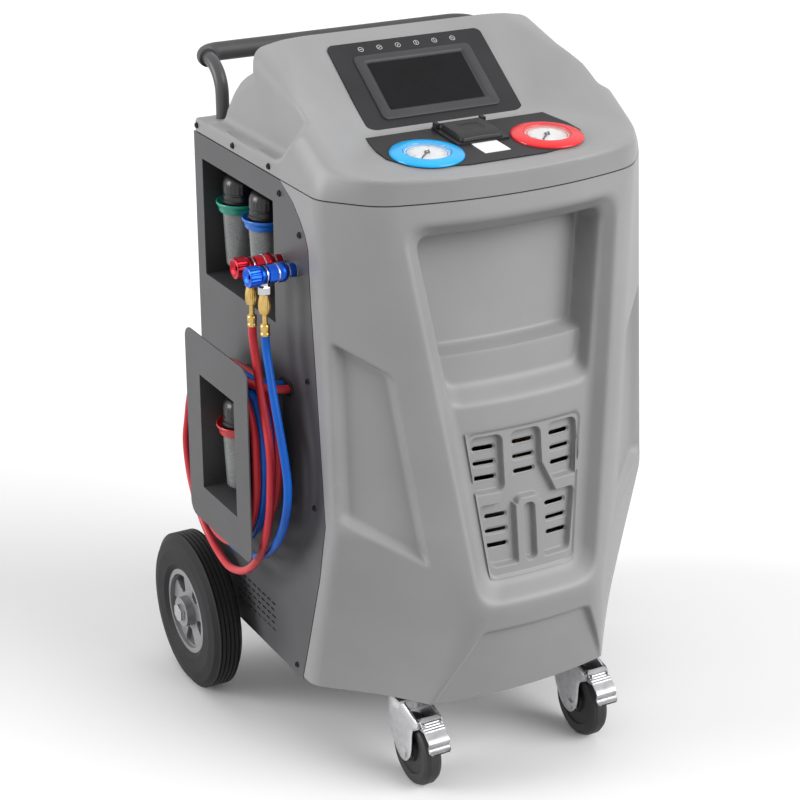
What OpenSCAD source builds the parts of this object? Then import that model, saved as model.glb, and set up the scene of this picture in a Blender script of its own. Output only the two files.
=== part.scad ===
// Refrigerant recovery machine: a moulded cabinet on two rear wheels and two casters,
// with a sloped console, two pressure gauges, oil bottles and a pair of wound service hoses.
// Millimetres, +Z up, front towards -Y, z = 0 on the floor, origin under the cabinet's middle.

/* [Cabinet] */
// Width over the two side panels
body_w = 518; // [510:1:526]
// Height of the seam between the cabinet and the console
seam_z = 888; // [884:1:894]
// Outer face of the rear panel
rear_y = 248; // [246:1:252]
// Thickness of the sheet metal panels
sheet = 1.5; // [1.2:0.1:2]
// Wall of the moulded front shell and console
wall = 4; // [3:0.5:5]
// Gap between the front shell and the side panels
panel_gap = 2; // [1:0.25:3]
// Underside of the chassis floor
floor_z = 140; // [139:0.5:142]
// Lower edge of the side panels
panel_low_z = 130; // [128:1:134]

/* [Front shell] */
// Most forward point of the shell, at the nose
nose_y = -330; // [-334:1:-326]
// Height of the nose
nose_z = 310; // [300:2:320]
// Front of the shell at the seam
front_top_y = -251; // [-254:1:-248]
// Front of the shell at its lower edge
front_foot_y = -292; // [-296:1:-288]
// Radius of the bow across the front
bow_r = 641; // [600:10:700]
// Depth of the long central recess
recess_depth = 24; // [18:1:28]
// Further depth of the storage pocket
pocket_depth = 45; // [35:1:50]
// Depth of the recess in each side facet
flank_depth = 13; // [9:1:16]
// Length of a grille slot
slot_len = 36; // [32:1:38]
// Height of a grille slot
slot_h = 9; // [7:0.5:10]

/* [Console] */
// Slope of the display
display_slope = 35.5; // [34:0.5:37]
// Width of the display overlay
overlay_w = 251; // [240:1:256]
// Width of the screen's glass
screen_w = 154; // [146:1:160]
// Height of the screen's glass
screen_h = 86; // [80:1:90]
// Outer diameter of a gauge ring
gauge_d = 103; // [96:1:106]
// Distance of each gauge from the middle
gauge_x = 95.5; // [93:0.5:98]
// Width of the printer
printer_w = 82; // [76:1:86]

/* [Handle] */
// Diameter of the handle's arms
arm_d = 20; // [18:1:22]
// Diameter of the grip
grip_d = 28; // [25:1:30]
// Distance of each arm in from the cabinet's side
arm_in = 33; // [31:1:37]

/* [Wheels] */
// Radius of the rear tyres
tyre_r = 125; // [120:1:126]
// Width of the rear tyres
tyre_w = 53; // [46:1:56]
// Radius of the wheel rim
rim_r = 68; // [62:1:72]
// Diameter of the rear axle
axle_d = 20; // [18:1:20]
// Radius of the caster wheels
caster_r = 54; // [50:1:54]
// Width of the caster wheels
caster_w = 28; // [24:1:30]

/* [Service side] */
// Outside diameter of a hose
hose_d = 12; // [10:0.5:13]
// Outer face of the hose hanger, measured from the side panel
hanger_reach = 76; // [70:1:80]
// Diameter of a bottle's coloured collar
collar_d = 72; // [66:1:74]
// Diameter of a coupler's hand knob
knob_d = 30; // [26:1:32]

/* [Hidden] */
// Number of facets asked of round shapes
$fn = 48;
// Very small overlap used only to cut cleanly, and the length of a cut right through a wall
cut = 0.5;
through = 120;
// Clearance all round between bodies that move past each other
move_gap = 0.4;
// Radial clearance of a pin that turns in its bore
run_gap = 0.05;
// Half width to the outer and inner faces of the side panels
side_x = body_w / 2;
panel_in_x = side_x - sheet;
// Heights of the ridge on the front shell, its foot and its lower side edge
ridge_z = 414;
foot_z = 150;
side_foot_z = 135;
// Front to back position of the crease along each side: at the seam, the ridge and the foot
crease_top_y = -152;
crease_ridge_y = -191;
crease_foot_y = -115;
// Half width of the flat front: at the seam, the ridge, the nose and the foot
front_top_x = side_x - 57;
front_ridge_x = side_x - 137;
front_nose_x = side_x - 156;
front_foot_x = side_x - 118;
// Steps across the bowed front, and rows between the seam and the ridge
bow_steps = 8;
upper_rows = 4;
// Front edge of the side panels, seen from the side, from the seam to the lower edge
gap_line = [[-41, seam_z], [-80, 868], [-102, 848], [-117, 830], [-125, 812], [-130, 743], [-143, 630],
    [-152, 544], [-165, 415], [-145, 323], [-109, 208], [-83.5, panel_low_z]];
// Central recess in the front shell: heights and half widths of its rim at the top and bottom,
// and the spread of its walls for each millimetre of depth
recess_top_z = 860;
recess_low_z = 318;
recess_top_x = side_x - 88;
recess_low_x = side_x - 162;
recess_corner = 26;
recess_draft = 0.9;
// Storage pocket inside the recess
pocket_top_z = 837;
pocket_step_z = 671;
pocket_low_z = 600;
pocket_top_x = side_x - 114;
pocket_low_x = side_x - 150;
pocket_step_depth = 22;
pocket_corner = 16;
// Grille pad below the pocket
pad_top_z = 559;
pad_low_z = 347;
pad_top_x = side_x - 166;
pad_low_x = side_x - 191;
pad_rise = 4;
panel_sink = 7;
// Sunk panels in the pad: three above, two below a link, and the groove of the closed middle bar
panel_corner = 8;
panel_half = 23;
panel_pitch = pad_top_x - 31;
panel_top_z = 551;
panel_bottom_z = 471;
low_panel_x = pad_low_x - 19;
low_panel_half = 26;
low_panel_foot = 20;
low_panel_top_z = 452;
low_panel_bottom_z = 362;
bar_groove = 8;
// Slots: pitch, highest slot above and below, and distance of the outer columns from the middle
slot_pitch = 21.5;
slot_rows = 3;
slot_top_z = 532;
slot_low_z = 432;
slot_top_x = panel_pitch;
slot_low_x = low_panel_x + 2;
// Sunk centre panel below the recess: top corners, spread towards the foot and depth
foot_panel_z = 272;
foot_panel_x = front_nose_x - 14;
foot_panel_low_x = front_foot_x + 26;
foot_panel_depth = 10;
// Flank recess outline along the side facet: distance from the crease line, height
flank_outline = [[17, 436], [150, 374], [96, 652], [6, 694]];
flank_corner = 12;
flank_draft = 0.8;
flank_turn = 46;
flank_mid_z = 650;
// Console: display and gauge shelf planes, measured on the faces of the overlays
display_y = 14;
display_z = 986.8;
overlay_len = 159;
overlay_t = 2;
shelf_slope = 4.86;
shelf_y = -51;
shelf_z = 941;
// Console: crown of the hood, its pitch, radius and height over the origin
crown_pitch = 15.6;
crown_r = 1050;
crown_z = 1032;
// Console: sloped cheek beside the dish
cheek_tilt = 35.5;
cheek_turn = -45.5;
cheek_at = [-163, 5, 984];
// Console: hood side walls stand in from the cabinet's width, above a ledge
hood_x = side_x - 27;
ledge_z = 912;
ledge_fall = 6;
seam_step = 1.5;
seam_groove = 2;
// Console: back of the hood seen from the side, and the shoulder in front of the ledge
hood_back = [[98, 1150], [106, 1004], [130, 996], [163, 973], [196, ledge_z]];
shoulder = [[36, ledge_z], [92, 972]];
// Console: screen and frame along the slope of the display, frame margins and height over the overlay
screen_y = -4;
screen_gap = 4;
frame_y = -6;
frame_wide = 36;
frame_high = 32;
frame_h = 2.5;
// Left half of the shelf overlay's outline, front to back
overlay_half = [[-60, -164], [-108, -154], [-140, -134], [-154, -104], [-153, -72], [-143, -22]];
// Gauges: position along the shelf, dial radius, case radius and depth below the shelf
gauge_y = -109.5;
dial_r = 31;
case_r = 40;
case_depth = 38;
ring_h = 6;
ring_edge = 2.5;
lens_z = 4.2;
lens_t = 1.2;
dial_t = 1.6;
spindle_r = 1.6;
// Printer: front and rear edges along the shelf, height over the shelf, depth below
printer_front = -99;
printer_back = -25;
printer_h = 3;
printer_drop = 46;
lid_h = 9;
lid_pin_r = 1.8;
lid_barrel_r = 4.2;
// Handle: place and foot of each arm, start of the bend, bend radius and grip centre
arm_x = side_x - arm_in;
arm_y = 215;
arm_low_z = 858;
arm_bend_z = 944;
arm_bend_r = 46;
grip_corner = 30;
grip_y = 292;
grip_z = arm_bend_z + arm_bend_r;
// Rear wheels
axle_y = 205;
axle_z = tyre_r;
tyre_in_x = side_x + 16;
tyre_mid_x = tyre_in_x + tyre_w / 2;
hub_r = 24;
spokes = 5;
nut_r = 15;
nut_h = 9;
axle_end_x = tyre_in_x + tyre_w + 9;
// Ears that carry the axle under the chassis
ear_x = side_x - 31;
ear_t = 6;
ear_w = 44;
ear_drop = 18;
// Casters: kingpin, trail of the wheel, fork arms, axle bolt and brake pedal
caster_x = side_x - 115;
caster_y = -195;
caster_trail = 31;
caster_plate_t = 4;
kingpin_r = 7;
fork_top_z = floor_z - caster_plate_t - 1;
fork_cap_h = 16;
fork_t = 3;
bolt_r = 6;
pedal_pivot = [-62, 116];
pedal_pin_r = 3;
pedal_w = 46;
pedal_len = 62;
pedal_drop = 38;
// Upper bottle niche in the left side panel
niche_y0 = -18;
niche_y1 = 221;
niche_z0 = 673;
niche_z1 = 852;
niche_depth = 92;
// Hose hanger: plate, window and sleeve
hanger_y0 = -80;
hanger_y1 = 133;
hanger_z0 = 335;
hanger_z1 = 635;
hanger_corner = 18;
sleeve_y0 = -34;
sleeve_y1 = 84;
sleeve_z0 = 393;
sleeve_z1 = 573;
sleeve_depth = 150;
hanger_x = -side_x - hanger_reach;
// Bottles: centre lines and height of the collar's seat
collar_h = 15;
collar_lip = 4;
cap_r = 25;
cap_h = 42;
vessel_r = 29;
vessel_foot_r = 23;
vessel_len = 84;
vessel_wall = 2;
new_oil_at = [-side_x + 41, 180, 779];
dye_at = [-side_x + 41, 90, 779];
used_oil_at = [-side_x - 33, 38, 492];
// Couplers: axis positions on the side panel, and lengths outwards from the panel
high_coupler_y = -46;
low_coupler_y = -88;
coupler_z = 774;
post_len = 12;
post_r = 7;
coupler_len = 41;
coupler_r = 14;
coupler_neck = 13;
knob_len = 17;
port_x = -side_x - 49;
port_r = 6;
stem_knob_r = 4;
neck_r = 10;
fitting_low_z = 690;
grommet_w = 42;
grommet_h = 22;
grommet_lip = 3;
grommet_at = [-52, 588];
// Hose ends: crimped sleeve, thin stem, round nut and hexagon nut, upwards from the hose
crimp_len = 26;
stem_r = 4.5;
stem_len = 12;
round_nut_r = 11;
round_nut_len = 20;
hex_nut_r = 10.5;
hex_nut_len = 14;
// Wound part of the hoses: band width, extent along X and outline seen from the side
coil_band = 26;
coil_x0 = -side_x - 14;
coil_x1 = hanger_x + 6;
coil_top = sleeve_z1 + sheet + coil_band;
coil_outline = [[100, 262], [190, 290], [246, 370], [246, 520], [150, coil_top], [-70, coil_top],
    [-118, 520], [-118, 400], [-80, 310], [0, 268]];
// Centre line of the red hose from its fitting to the turns, and from the panel to the turns
high_lead = [[port_x, high_coupler_y, fitting_low_z], [port_x, high_coupler_y, fitting_low_z - 8],
    [port_x, -52, 662], [port_x - 1, -63, 640], [port_x - 1, -76, 600], [port_x, -88, 552],
    [port_x + 2, -97, 506], [port_x + 4, -102, 470]];
high_tail = [[-side_x - grommet_lip, grommet_at[0] - 9, grommet_at[1]],
    [coil_x0 - 3, grommet_at[0] - 9, grommet_at[1]]];
// Centre line of the blue hose, likewise
low_lead = [[port_x, low_coupler_y, fitting_low_z], [port_x, low_coupler_y, fitting_low_z - 8],
    [port_x, -98, 662], [port_x - 2, -112, 636], [port_x - 1, -125, 596], [port_x, -134, 550],
    [port_x + 1, -136, 500], [port_x + 2, -128, 456], [port_x + 6, -114, 412], [port_x + 8, -101, 378]];
low_tail = [[-side_x - grommet_lip, grommet_at[0] + 9, grommet_at[1]],
    [coil_x0 - 3, grommet_at[0] + 9, grommet_at[1]]];
hose_sides = 10;
// Mains module on the rear panel: lower corner, middle of its switch and the switch's pin
power_x = -180;
power_z = 212;
power_w = 98;
power_h = 24;
power_depth = 30;
power_flange = 4;
socket_depth = 16;
switch_x = power_x + 76;
switch_pin_r = 1.6;
// Width of a chassis post, and place of the front posts
post_w = 22;
front_post = [side_x - 53, -66];
// Vent slots low on the side panels: first slot, pitch along Y and Z, shift of every second row, size
vent_at = [12, 168];
vent_pitch = [17, 11];
vent_shift = 4;
vent_cols = 8;
vent_rows = 5;
vent_slot = [12, 3.4];
// Louvre slots in the rear panel: place of the columns, pitch, size, and start and count of each bank
louvre_x = 110;
louvre_pitch = 22;
louvre_slot = [150, 7];
louvre_banks = [[620, 8], [330, 6]];
// Screw heads on the side panels and the console's skirt, as y and z, and their size
panel_screws = [[-40, 869], [-100, 826], [-118, 619], [-133, 431], [-66, 146]];
skirt_screws = [[235, 899], [110, 899], [-8, 899]];
screw_r = 4.8;
screw_h = 2.8;
screw_key_r = 2;
// Chassis tray: sheet, height of its raised edge, front edge and the corners of its slanted sides
tray_t = 2;
tray_h = 34;
tray_front = [side_x - 131, -248];
tray_side_y = -70;
tray_corner = [12, 18];
// Inside: tank, scale, compressor, pump, valve block and control board
scale_h = 28;
scale_w = 210;
scale_plate = [4, 6];
cell_size = [140, 24];
tank_r = 104;
tank_h = 420;
tank_at = [10, 125];
comp_r = 66;
comp_h = 178;
comp_at = [side_x - 139, -70];
pump_at = [-side_x + 164, -75];
pump_r = 44;
valve_at = [-120, 470];
valve_size = [60, 180, 40];
solenoid_r = 13;
solenoid_h = 46;
solenoid_pitch = 34;
drier_r = 28;
drier_h = 100;

// Linear blend between two values
function mix(a, b, t) = a + (b - a) * t;
// Crease, front half width and front centre of the shell at a height
function crease_y(z) = z > ridge_z
    ? mix(crease_ridge_y, crease_top_y, (z - ridge_z) / (seam_z - ridge_z))
    : mix(crease_foot_y, crease_ridge_y, (z - side_foot_z) / (ridge_z - side_foot_z));
function front_x(z) = z > ridge_z
    ? mix(front_ridge_x, front_top_x, (z - ridge_z) / (seam_z - ridge_z))
    : z > nose_z ? mix(front_nose_x, front_ridge_x, (z - nose_z) / (ridge_z - nose_z))
    : mix(front_foot_x, front_nose_x, (z - side_foot_z) / (nose_z - side_foot_z));
function front_y(z) = z > nose_z
    ? mix(nose_y, front_top_y, (z - nose_z) / (seam_z - nose_z))
    : mix(front_foot_y, nose_y, (z - side_foot_z) / (nose_z - side_foot_z));
function bow(x) = x * x / (2 * bow_r);
// Plan outline of the shell at a height, set in by g, from the left rear round the front
function ring(z, g, back) = let (w = side_x - g, c = crease_y(z), f = front_x(z) - g * 0.4,
    y = front_y(z) + g)
    concat([[-w, back], [-w, c + g * 0.5]],
        [for (i = [0 : bow_steps]) let (x = mix(-f, f, i / bow_steps)) [x, y + bow(x)]],
        [[w, c + g * 0.5], [w, back]]);
// Heights of the rows of the shell, top to bottom
shell_rows = concat([for (i = [0 : upper_rows]) mix(seam_z, ridge_z, i / upper_rows)],
    [nose_z, side_foot_z]);
// Solid body of the front shell, set in by g and grown by e past its top and foot
module shell_body(g = 0, e = 0, back = 60) {
    count = bow_steps + 5;
    last = len(shell_rows) - 1;
    points = [for (i = [0 : last]) let (z = shell_rows[i], shift = i == 0 ? e : i == last ? -e : 0)
        for (q = ring(z, g, back)) [q[0], q[1], z + shift]];
    top = [for (j = [count - 1 : -1 : 0]) j];
    bottom = [for (j = [0 : count - 1]) last * count + j];
    back_face = [for (i = [0 : last - 1]) let (a = i * count, b = a + count)
        [a + count - 1, a, b, b + count - 1]];
    left_skin = [for (i = [0 : last - 1]) for (j = [0 : count - 2]) let (a = i * count + j, b = a + count)
        j < count / 2 - 1 ? [a, a + 1, b + 1] : [a, a + 1, b]];
    right_skin = [for (i = [0 : last - 1]) for (j = [0 : count - 2]) let (a = i * count + j,
        b = a + count)
        j < count / 2 - 1 ? [a, b + 1, b] : [a + 1, b + 1, b]];
    polyhedron(points, concat([top, bottom], back_face, left_skin, right_skin), convexity = 6);
}
// Trapezoid with round corners, standing in the XZ plane and running along Y
module front_prism(top_x, top_z, low_x, low_z, r, grow = 0) {
    a = [[-low_x, low_z], [low_x, low_z], [top_x, top_z], [-top_x, top_z]];
    rotate([90, 0, 0]) translate([0, 0, -40]) linear_extrude(460) rounded(a, r, grow);
}
// Convex outline with its corners rounded to r, grown by a margin
module rounded(a, r, grow = 0) {
    polygon(rounded_points(a, r, grow));
}
function rounded_points(a, r, grow) = let (n = len(a), s = grown(a, grow))
    [for (i = [0 : n - 1]) each corner(s[(i + n - 1) % n], s[i], s[(i + 1) % n], r)];
// Outline with each side moved out by a margin
function grown(a, grow) = let (n = len(a)) [for (i = [0 : n - 1])
    let (u = unit(a[(i + n - 1) % n] - a[i]), v = unit(a[(i + 1) % n] - a[i]))
    a[i] - unit(u + v) * grow / sqrt((1 - u * v) / 2)];
function unit(v) = v / norm(v);
// Points of one rounded corner at q, between its neighbours
function corner(p, q, s, r) = let (u = unit(p - q), v = unit(s - q), half = acos(u * v) / 2,
    c = q + unit(u + v) * r / sin(half), a = q + u * r / tan(half), b = q + v * r / tan(half))
    [for (i = [0 : 4]) let (d = mix(a, b, i / 4) - c) c + unit(d) * r];
// Rounded trapezoid with eight steps along each straight side, as x and z
function recess_ring(grow) = let (p = rounded_points([[-recess_low_x, recess_low_z],
    [recess_low_x, recess_low_z], [recess_top_x, recess_top_z], [-recess_top_x, recess_top_z]],
    recess_corner, grow), n = len(p))
    [for (i = [0 : n - 1]) each i % 5 < 4 ? [p[i]] : [for (k = [0 : 7]) mix(p[i], p[(i + 1) % n], k / 8)]];
// Point of the bowed front at x and z, moved back by d
function on_front(q, d) = [q[0], front_y(q[1]) + bow(q[0]) + d, q[1]];
// Closed space between an outer and an inner ring of points, each capped towards its own middle
module sloped_space(rim, foot, rim_middle, foot_middle) {
    n = len(rim);
    faces = [for (i = [0 : n - 1]) let (j = (i + 1) % n)
        each [[i, j, n + j], [i, n + j, n + i], [j, i, 2 * n], [n + i, n + j, 2 * n + 1]]];
    polyhedron(concat(rim, foot, [rim_middle, foot_middle]), faces, convexity = 4);
}
// Space of the central recess: walls slope in from the rim, deeper than the floor
module recess_space(g) {
    out = wall * 5;
    deep = recess_depth + g + wall * 3;
    spread = g * 1.4;
    middle = [0, (recess_top_z + recess_low_z) / 2];
    sloped_space([for (q = recess_ring(spread + out * recess_draft)) on_front(q, -out)],
        [for (q = recess_ring(spread - deep * recess_draft)) on_front(q, deep)],
        on_front(middle, -out), on_front(middle, deep));
}
// Recesses of the front, deeper and wider by g where they are used to form the inside
module front_dents(g) {
    difference() {
        recess_space(g);
        translate([0, recess_depth + g, 0]) shell_body(e = 30);
        if (g == 0) grille_pad();
    }
    difference() {
        front_prism(pocket_top_x, pocket_top_z, mix(pocket_low_x, pocket_top_x, 0.3), pocket_step_z,
            pocket_corner, g);
        translate([0, recess_depth + pocket_depth + g, 0]) shell_body(e = 30);
    }
    difference() {
        front_prism(mix(pocket_low_x, pocket_top_x, 0.4), pocket_step_z + 20, pocket_low_x,
            pocket_low_z, pocket_corner, g);
        translate([0, recess_depth + pocket_step_depth + g, 0]) shell_body(e = 30);
    }
    difference() {
        grille_panels(g);
        translate([0, recess_depth + panel_sink + g, 0]) shell_body(e = 30);
    }
    difference() {
        front_prism(foot_panel_x, foot_panel_z, foot_panel_low_x, side_foot_z - 30, panel_corner, g);
        translate([0, foot_panel_depth + g, 0]) shell_body(e = cut);
    }
    for (m = [0, 1]) mirror([m, 0, 0]) flank_dent(g);
}
// Point of the left side facet, at a distance from the crease and a height, moved inwards by d
function on_flank(q, d) = [-side_x + q[0] * cos(flank_turn) + d * sin(flank_turn),
    crease_y(flank_mid_z) - q[0] * sin(flank_turn) + d * cos(flank_turn), q[1]];
// Shallow recess with sloped walls in the left upper side facet
module flank_dent(g) {
    out = wall * 5;
    deep = flank_depth + g + wall * 3;
    spread = g * 1.4;
    middle = (flank_outline[0] + flank_outline[2]) / 2;
    rim = rounded_points(flank_outline, flank_corner, spread + out * flank_draft);
    foot = rounded_points(flank_outline, flank_corner, spread - deep * flank_draft);
    difference() {
        sloped_space([for (q = rim) on_flank(q, -out)], [for (q = foot) on_flank(q, deep)],
            on_flank(middle, -out), on_flank(middle, deep));
        translate([sin(flank_turn), cos(flank_turn), 0] * (flank_depth + g)) shell_body(e = 30);
    }
}
// Region behind the front edge of the side panels, moved by d along Y
module behind_gap(d) {
    rotate([90, 0, 90]) translate([0, 0, -400]) linear_extrude(800)
        polygon(concat([for (q = gap_line) [q[0] + d, q[1]]],
            [[-83.5 + d, 60], [400, 60], [400, seam_z + 40], [-41 + d, seam_z + 40]]));
}
// Raised pad of the grille, open over its sunk panels
module grille_pad() {
    difference() {
        front_prism(pad_top_x, pad_top_z, pad_low_x, pad_low_z, recess_corner / 2);
        grille_panels(0);
        front_prism(bar_groove, low_panel_top_z - 8, bar_groove, low_panel_bottom_z, panel_corner - 2);
        difference() {
            front_prism(pad_top_x + 10, pad_top_z + 10, pad_low_x + 10, pad_low_z - 10, panel_corner);
            translate([0, recess_depth - pad_rise, 0]) shell_body(e = 30);
        }
    }
}
// Outlines of the sunk panels: three above, and two below that join under the middle one
module grille_panels(g) {
    for (x = [-panel_pitch, 0, panel_pitch]) translate([x, 0, 0])
        front_prism(panel_half, panel_top_z, panel_half - 2, panel_bottom_z, panel_corner, g);
    for (x = [-low_panel_x, low_panel_x]) translate([x, 0, 0])
        front_prism(low_panel_half, low_panel_top_z, low_panel_foot, low_panel_bottom_z, panel_corner, g);
    front_prism(panel_half - 2, panel_bottom_z + 20, low_panel_x, low_panel_top_z - 2, 2, g);
}
// Slots of the grille: three columns above, two below, the middle bar left closed
module grille_slots() {
    for (i = [0 : slot_rows - 1]) {
        for (x = [-slot_top_x, 0, slot_top_x]) one_slot(x, slot_top_z - i * slot_pitch);
        for (x = [-slot_low_x, slot_low_x]) one_slot(x, slot_low_z - i * slot_pitch);
    }
}
module one_slot(x, z) {
    translate([x, nose_y - 60, z]) rotate([-90, 0, 0]) linear_extrude(160) slot_shape(slot_len, slot_h);
}
module slot_shape(l, h) {
    square([l - h, h], center = true);
    for (s = [-1, 1]) translate([s * (l - h) / 2, 0]) circle(h / 2);
}
// Moulded front shell: bowed front, side facets, ridge, recess, pocket, grille and flank recesses
module front_shell() {
    color([0.66, 0.66, 0.66]) difference() {
        shell_body();
        front_dents(0);
        difference() {
            shell_body(g = wall, e = 12, back = 90);
            front_dents(wall);
        }
        behind_gap(-panel_gap / 2);
        grille_slots();
        foot_cut();
    }
}
// Rising lower edge of the front shell
module foot_cut() {
    rotate([90, 0, 90]) translate([0, 0, -400]) linear_extrude(800)
        polygon([[crease_foot_y, side_foot_z - 30], [crease_foot_y, side_foot_z], [front_foot_y, foot_z],
            [nose_y - 60, foot_z + 4], [nose_y - 60, side_foot_z - 30]]);
}

// Places a shape on the display: x across, y up the slope, z out of the face
module on_display() {
    translate([0, display_y, display_z]) rotate([display_slope, 0, 0]) children();
}
// Places a shape on the gauge shelf
module on_shelf() {
    translate([0, shelf_y, shelf_z]) rotate([shelf_slope, 0, 0]) children();
}
// Plan outline of the console, set in by g
module console_plan(g) {
    polygon(concat(ring(seam_z, g, rear_y - g)));
}
// Solid form of the console, set in by g
module console_form(g) {
    far = 300;
    low = seam_z - 20;
    difference() {
        intersection() {
            translate([0, 0, g > 0 ? seam_z - 6 : seam_z]) linear_extrude(240) console_plan(g);
            rotate([90, 0, 90]) translate([0, 0, -far]) linear_extrude(2 * far)
                polygon(concat([[-far, low], [-far, hood_back[0][1]]], [for (q = hood_back) q - [g, g]],
                    [[far, ledge_z - ledge_fall - g], [far, low]]));
            translate([0, 0, crown_z - crown_r / cos(crown_pitch)]) rotate([crown_pitch - 90, 0, 0])
                cylinder(r = crown_r - g, h = 1400, center = true);
        }
        dish(g);
        for (m = [0, 1]) mirror([m, 0, 0]) hood_side(g);
    }
}
// Dish that holds the display and the gauges, lowered by g for the inside
module dish(g) {
    intersection() {
        on_display() translate([-400, -400, -overlay_t - g]) cube([800, 800, 500]);
        on_shelf() translate([-400, -400, -overlay_t - g]) cube([800, 800, 500]);
        for_cheeks(g);
    }
}
// Space above both cheeks
module for_cheeks(g) {
    intersection() {
        cheek(g);
        mirror([1, 0, 0]) cheek(g);
    }
}
module cheek(g) {
    translate(cheek_at) rotate([0, cheek_tilt, cheek_turn]) translate([-600, -600, -g])
        cube([1200, 1200, 600]);
}
// Part taken off each side above the ledge, behind the shoulder
module hood_side(g) {
    high = hood_back[0][1];
    translate([-hood_x + g, 0, 0]) rotate([90, 0, -90]) linear_extrude(100)
        polygon(concat([for (q = shoulder) q + [g, -g]],
            [[shoulder[1][0] + g, high], [-300, high], [-300, ledge_z - g]]));
}
// Moulded console shell with its openings
module head_shell() {
    color([0.66, 0.66, 0.66]) difference() {
        console_form(0);
        console_form(wall);
        translate([0, 0, seam_z - cut]) linear_extrude(seam_groove + cut) difference() {
            square(1200, center = true);
            console_plan(seam_step);
        }
        on_display() translate([0, screen_y, 0])
            cube([screen_w + 2 * screen_gap, screen_h + 2 * screen_gap, through], center = true);
        on_shelf() for (s = [-1, 1]) translate([s * gauge_x, gauge_y, 0])
            cylinder(r = case_r, h = through, center = true);
        on_shelf() translate([0, (printer_front + printer_back) / 2, 0])
            cube([printer_w, printer_back - printer_front, through], center = true);
        for (s = [-1, 1]) translate([s * arm_x, arm_y, ledge_z])
            cylinder(d = arm_d, h = through / 2, center = true);
    }
}

// Chassis: floor tray with raised edges, four posts, a top frame and the axle's ears
module chassis() {
    color([0.25, 0.25, 0.26]) difference() {
        union() {
            translate([0, 0, floor_z]) linear_extrude(tray_t) tray_plan(0);
            translate([0, 0, floor_z]) linear_extrude(tray_h) difference() {
                tray_plan(0);
                tray_plan(tray_t);
            }
            for (s = [-1, 1]) {
                post(s * (panel_in_x - post_w / 2), rear_y - sheet - post_w / 2);
                post(s * front_post[0], front_post[1]);
                translate([s * ear_x - ear_t / 2, axle_y - ear_w / 2, axle_z - ear_drop])
                    cube([ear_t, ear_w, floor_z - axle_z + ear_drop]);
            }
        }
        translate([-300, axle_y, axle_z]) rotate([0, 90, 0]) cylinder(d = axle_d, h = 600);
    }
}
module tray_plan(g) {
    w = panel_in_x - g;
    left = [[-w, rear_y - sheet - g], [-w, tray_side_y + g], [-w + tray_corner[0],
        tray_side_y - tray_corner[1] + g], [-tray_front[0] + g, tray_front[1] + g]];
    polygon(concat(left, [for (i = [3 : -1 : 0]) [-left[i][0], left[i][1]]]));
}
// Square tube post from the tray to the seam
module post(x, y) {
    translate([x, y, floor_z]) linear_extrude(seam_z - floor_z) difference() {
        square(post_w, center = true);
        square(post_w - 4, center = true);
    }
}
// Outline of a side panel, seen from the side as y and z
module panel_outline() {
    polygon(concat([for (q = gap_line) [q[0] + panel_gap / 2, q[1]]],
        [[rear_y, panel_low_z], [rear_y, seam_z]]));
}
// Lays a shape drawn as y and z on the left side panel, from its inner face outwards
module on_left(t = sheet) {
    translate([-panel_in_x, 0, 0]) rotate([90, 0, -90]) linear_extrude(t) mirror([1, 0]) children();
}
// Low rows of short vent slots behind the rear wheel
module side_vents() {
    for (i = [0 : vent_rows - 1]) for (j = [0 : vent_cols - 1])
        translate(vent_at + [j * vent_pitch[0] + (i % 2) * vent_shift, i * vent_pitch[1]])
            slot_shape(vent_slot[0], vent_slot[1]);
}
module axle_notch() {
    translate([axle_y, axle_z]) circle(nut_r + 2);
    translate([axle_y - nut_r - 2, 60]) square([2 * nut_r + 4, axle_z - 60]);
}
module left_side_panel() {
    color([0.35, 0.35, 0.36]) on_left() difference() {
        panel_outline();
        translate([niche_y0, niche_z0]) square([niche_y1 - niche_y0, niche_z1 - niche_z0]);
        translate([sleeve_y0 - sheet, sleeve_z0 - sheet])
            square([sleeve_y1 - sleeve_y0 + 2 * sheet, sleeve_z1 - sleeve_z0 + 2 * sheet]);
        translate(grommet_at) slot_shape(grommet_w - 2 * grommet_lip, grommet_h - 2 * grommet_lip);
        for (y = [high_coupler_y, low_coupler_y]) translate([y, coupler_z]) circle(post_r);
        side_vents();
        axle_notch();
    }
}
module right_side_panel() {
    color([0.35, 0.35, 0.36]) mirror([1, 0, 0]) on_left() difference() {
        panel_outline();
        side_vents();
        axle_notch();
    }
}
// Rear panel with louvre slots and the holes of the power inlet and its switch
module rear_panel() {
    color([0.35, 0.35, 0.36]) difference() {
        translate([-panel_in_x, rear_y - sheet, panel_low_z])
            cube([2 * panel_in_x, sheet, seam_z - panel_low_z]);
        for (s = [-1, 1]) for (b = louvre_banks) for (i = [0 : b[1] - 1])
            translate([s * louvre_x, rear_y, b[0] + i * louvre_pitch]) rotate([90, 0, 0])
                linear_extrude(10, center = true) slot_shape(louvre_slot[0], louvre_slot[1]);
        translate([power_x, rear_y - 10, power_z]) cube([power_w, 20, power_h]);
    }
}
// Open sheet box behind the window of the left panel, with a cradle for each bottle
module bottle_niche() {
    w = niche_y1 - niche_y0;
    h = niche_z1 - niche_z0;
    color([0.2, 0.2, 0.21]) {
        difference() {
            translate([-panel_in_x, niche_y0 - sheet, niche_z0 - sheet])
                cube([niche_depth + sheet, w + 2 * sheet, h + 2 * sheet]);
            translate([-panel_in_x - cut, niche_y0, niche_z0]) cube([niche_depth + cut, w, h]);
        }
        cradle(new_oil_at, -panel_in_x + niche_depth);
        cradle(dye_at, -panel_in_x + niche_depth);
    }
}
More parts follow.
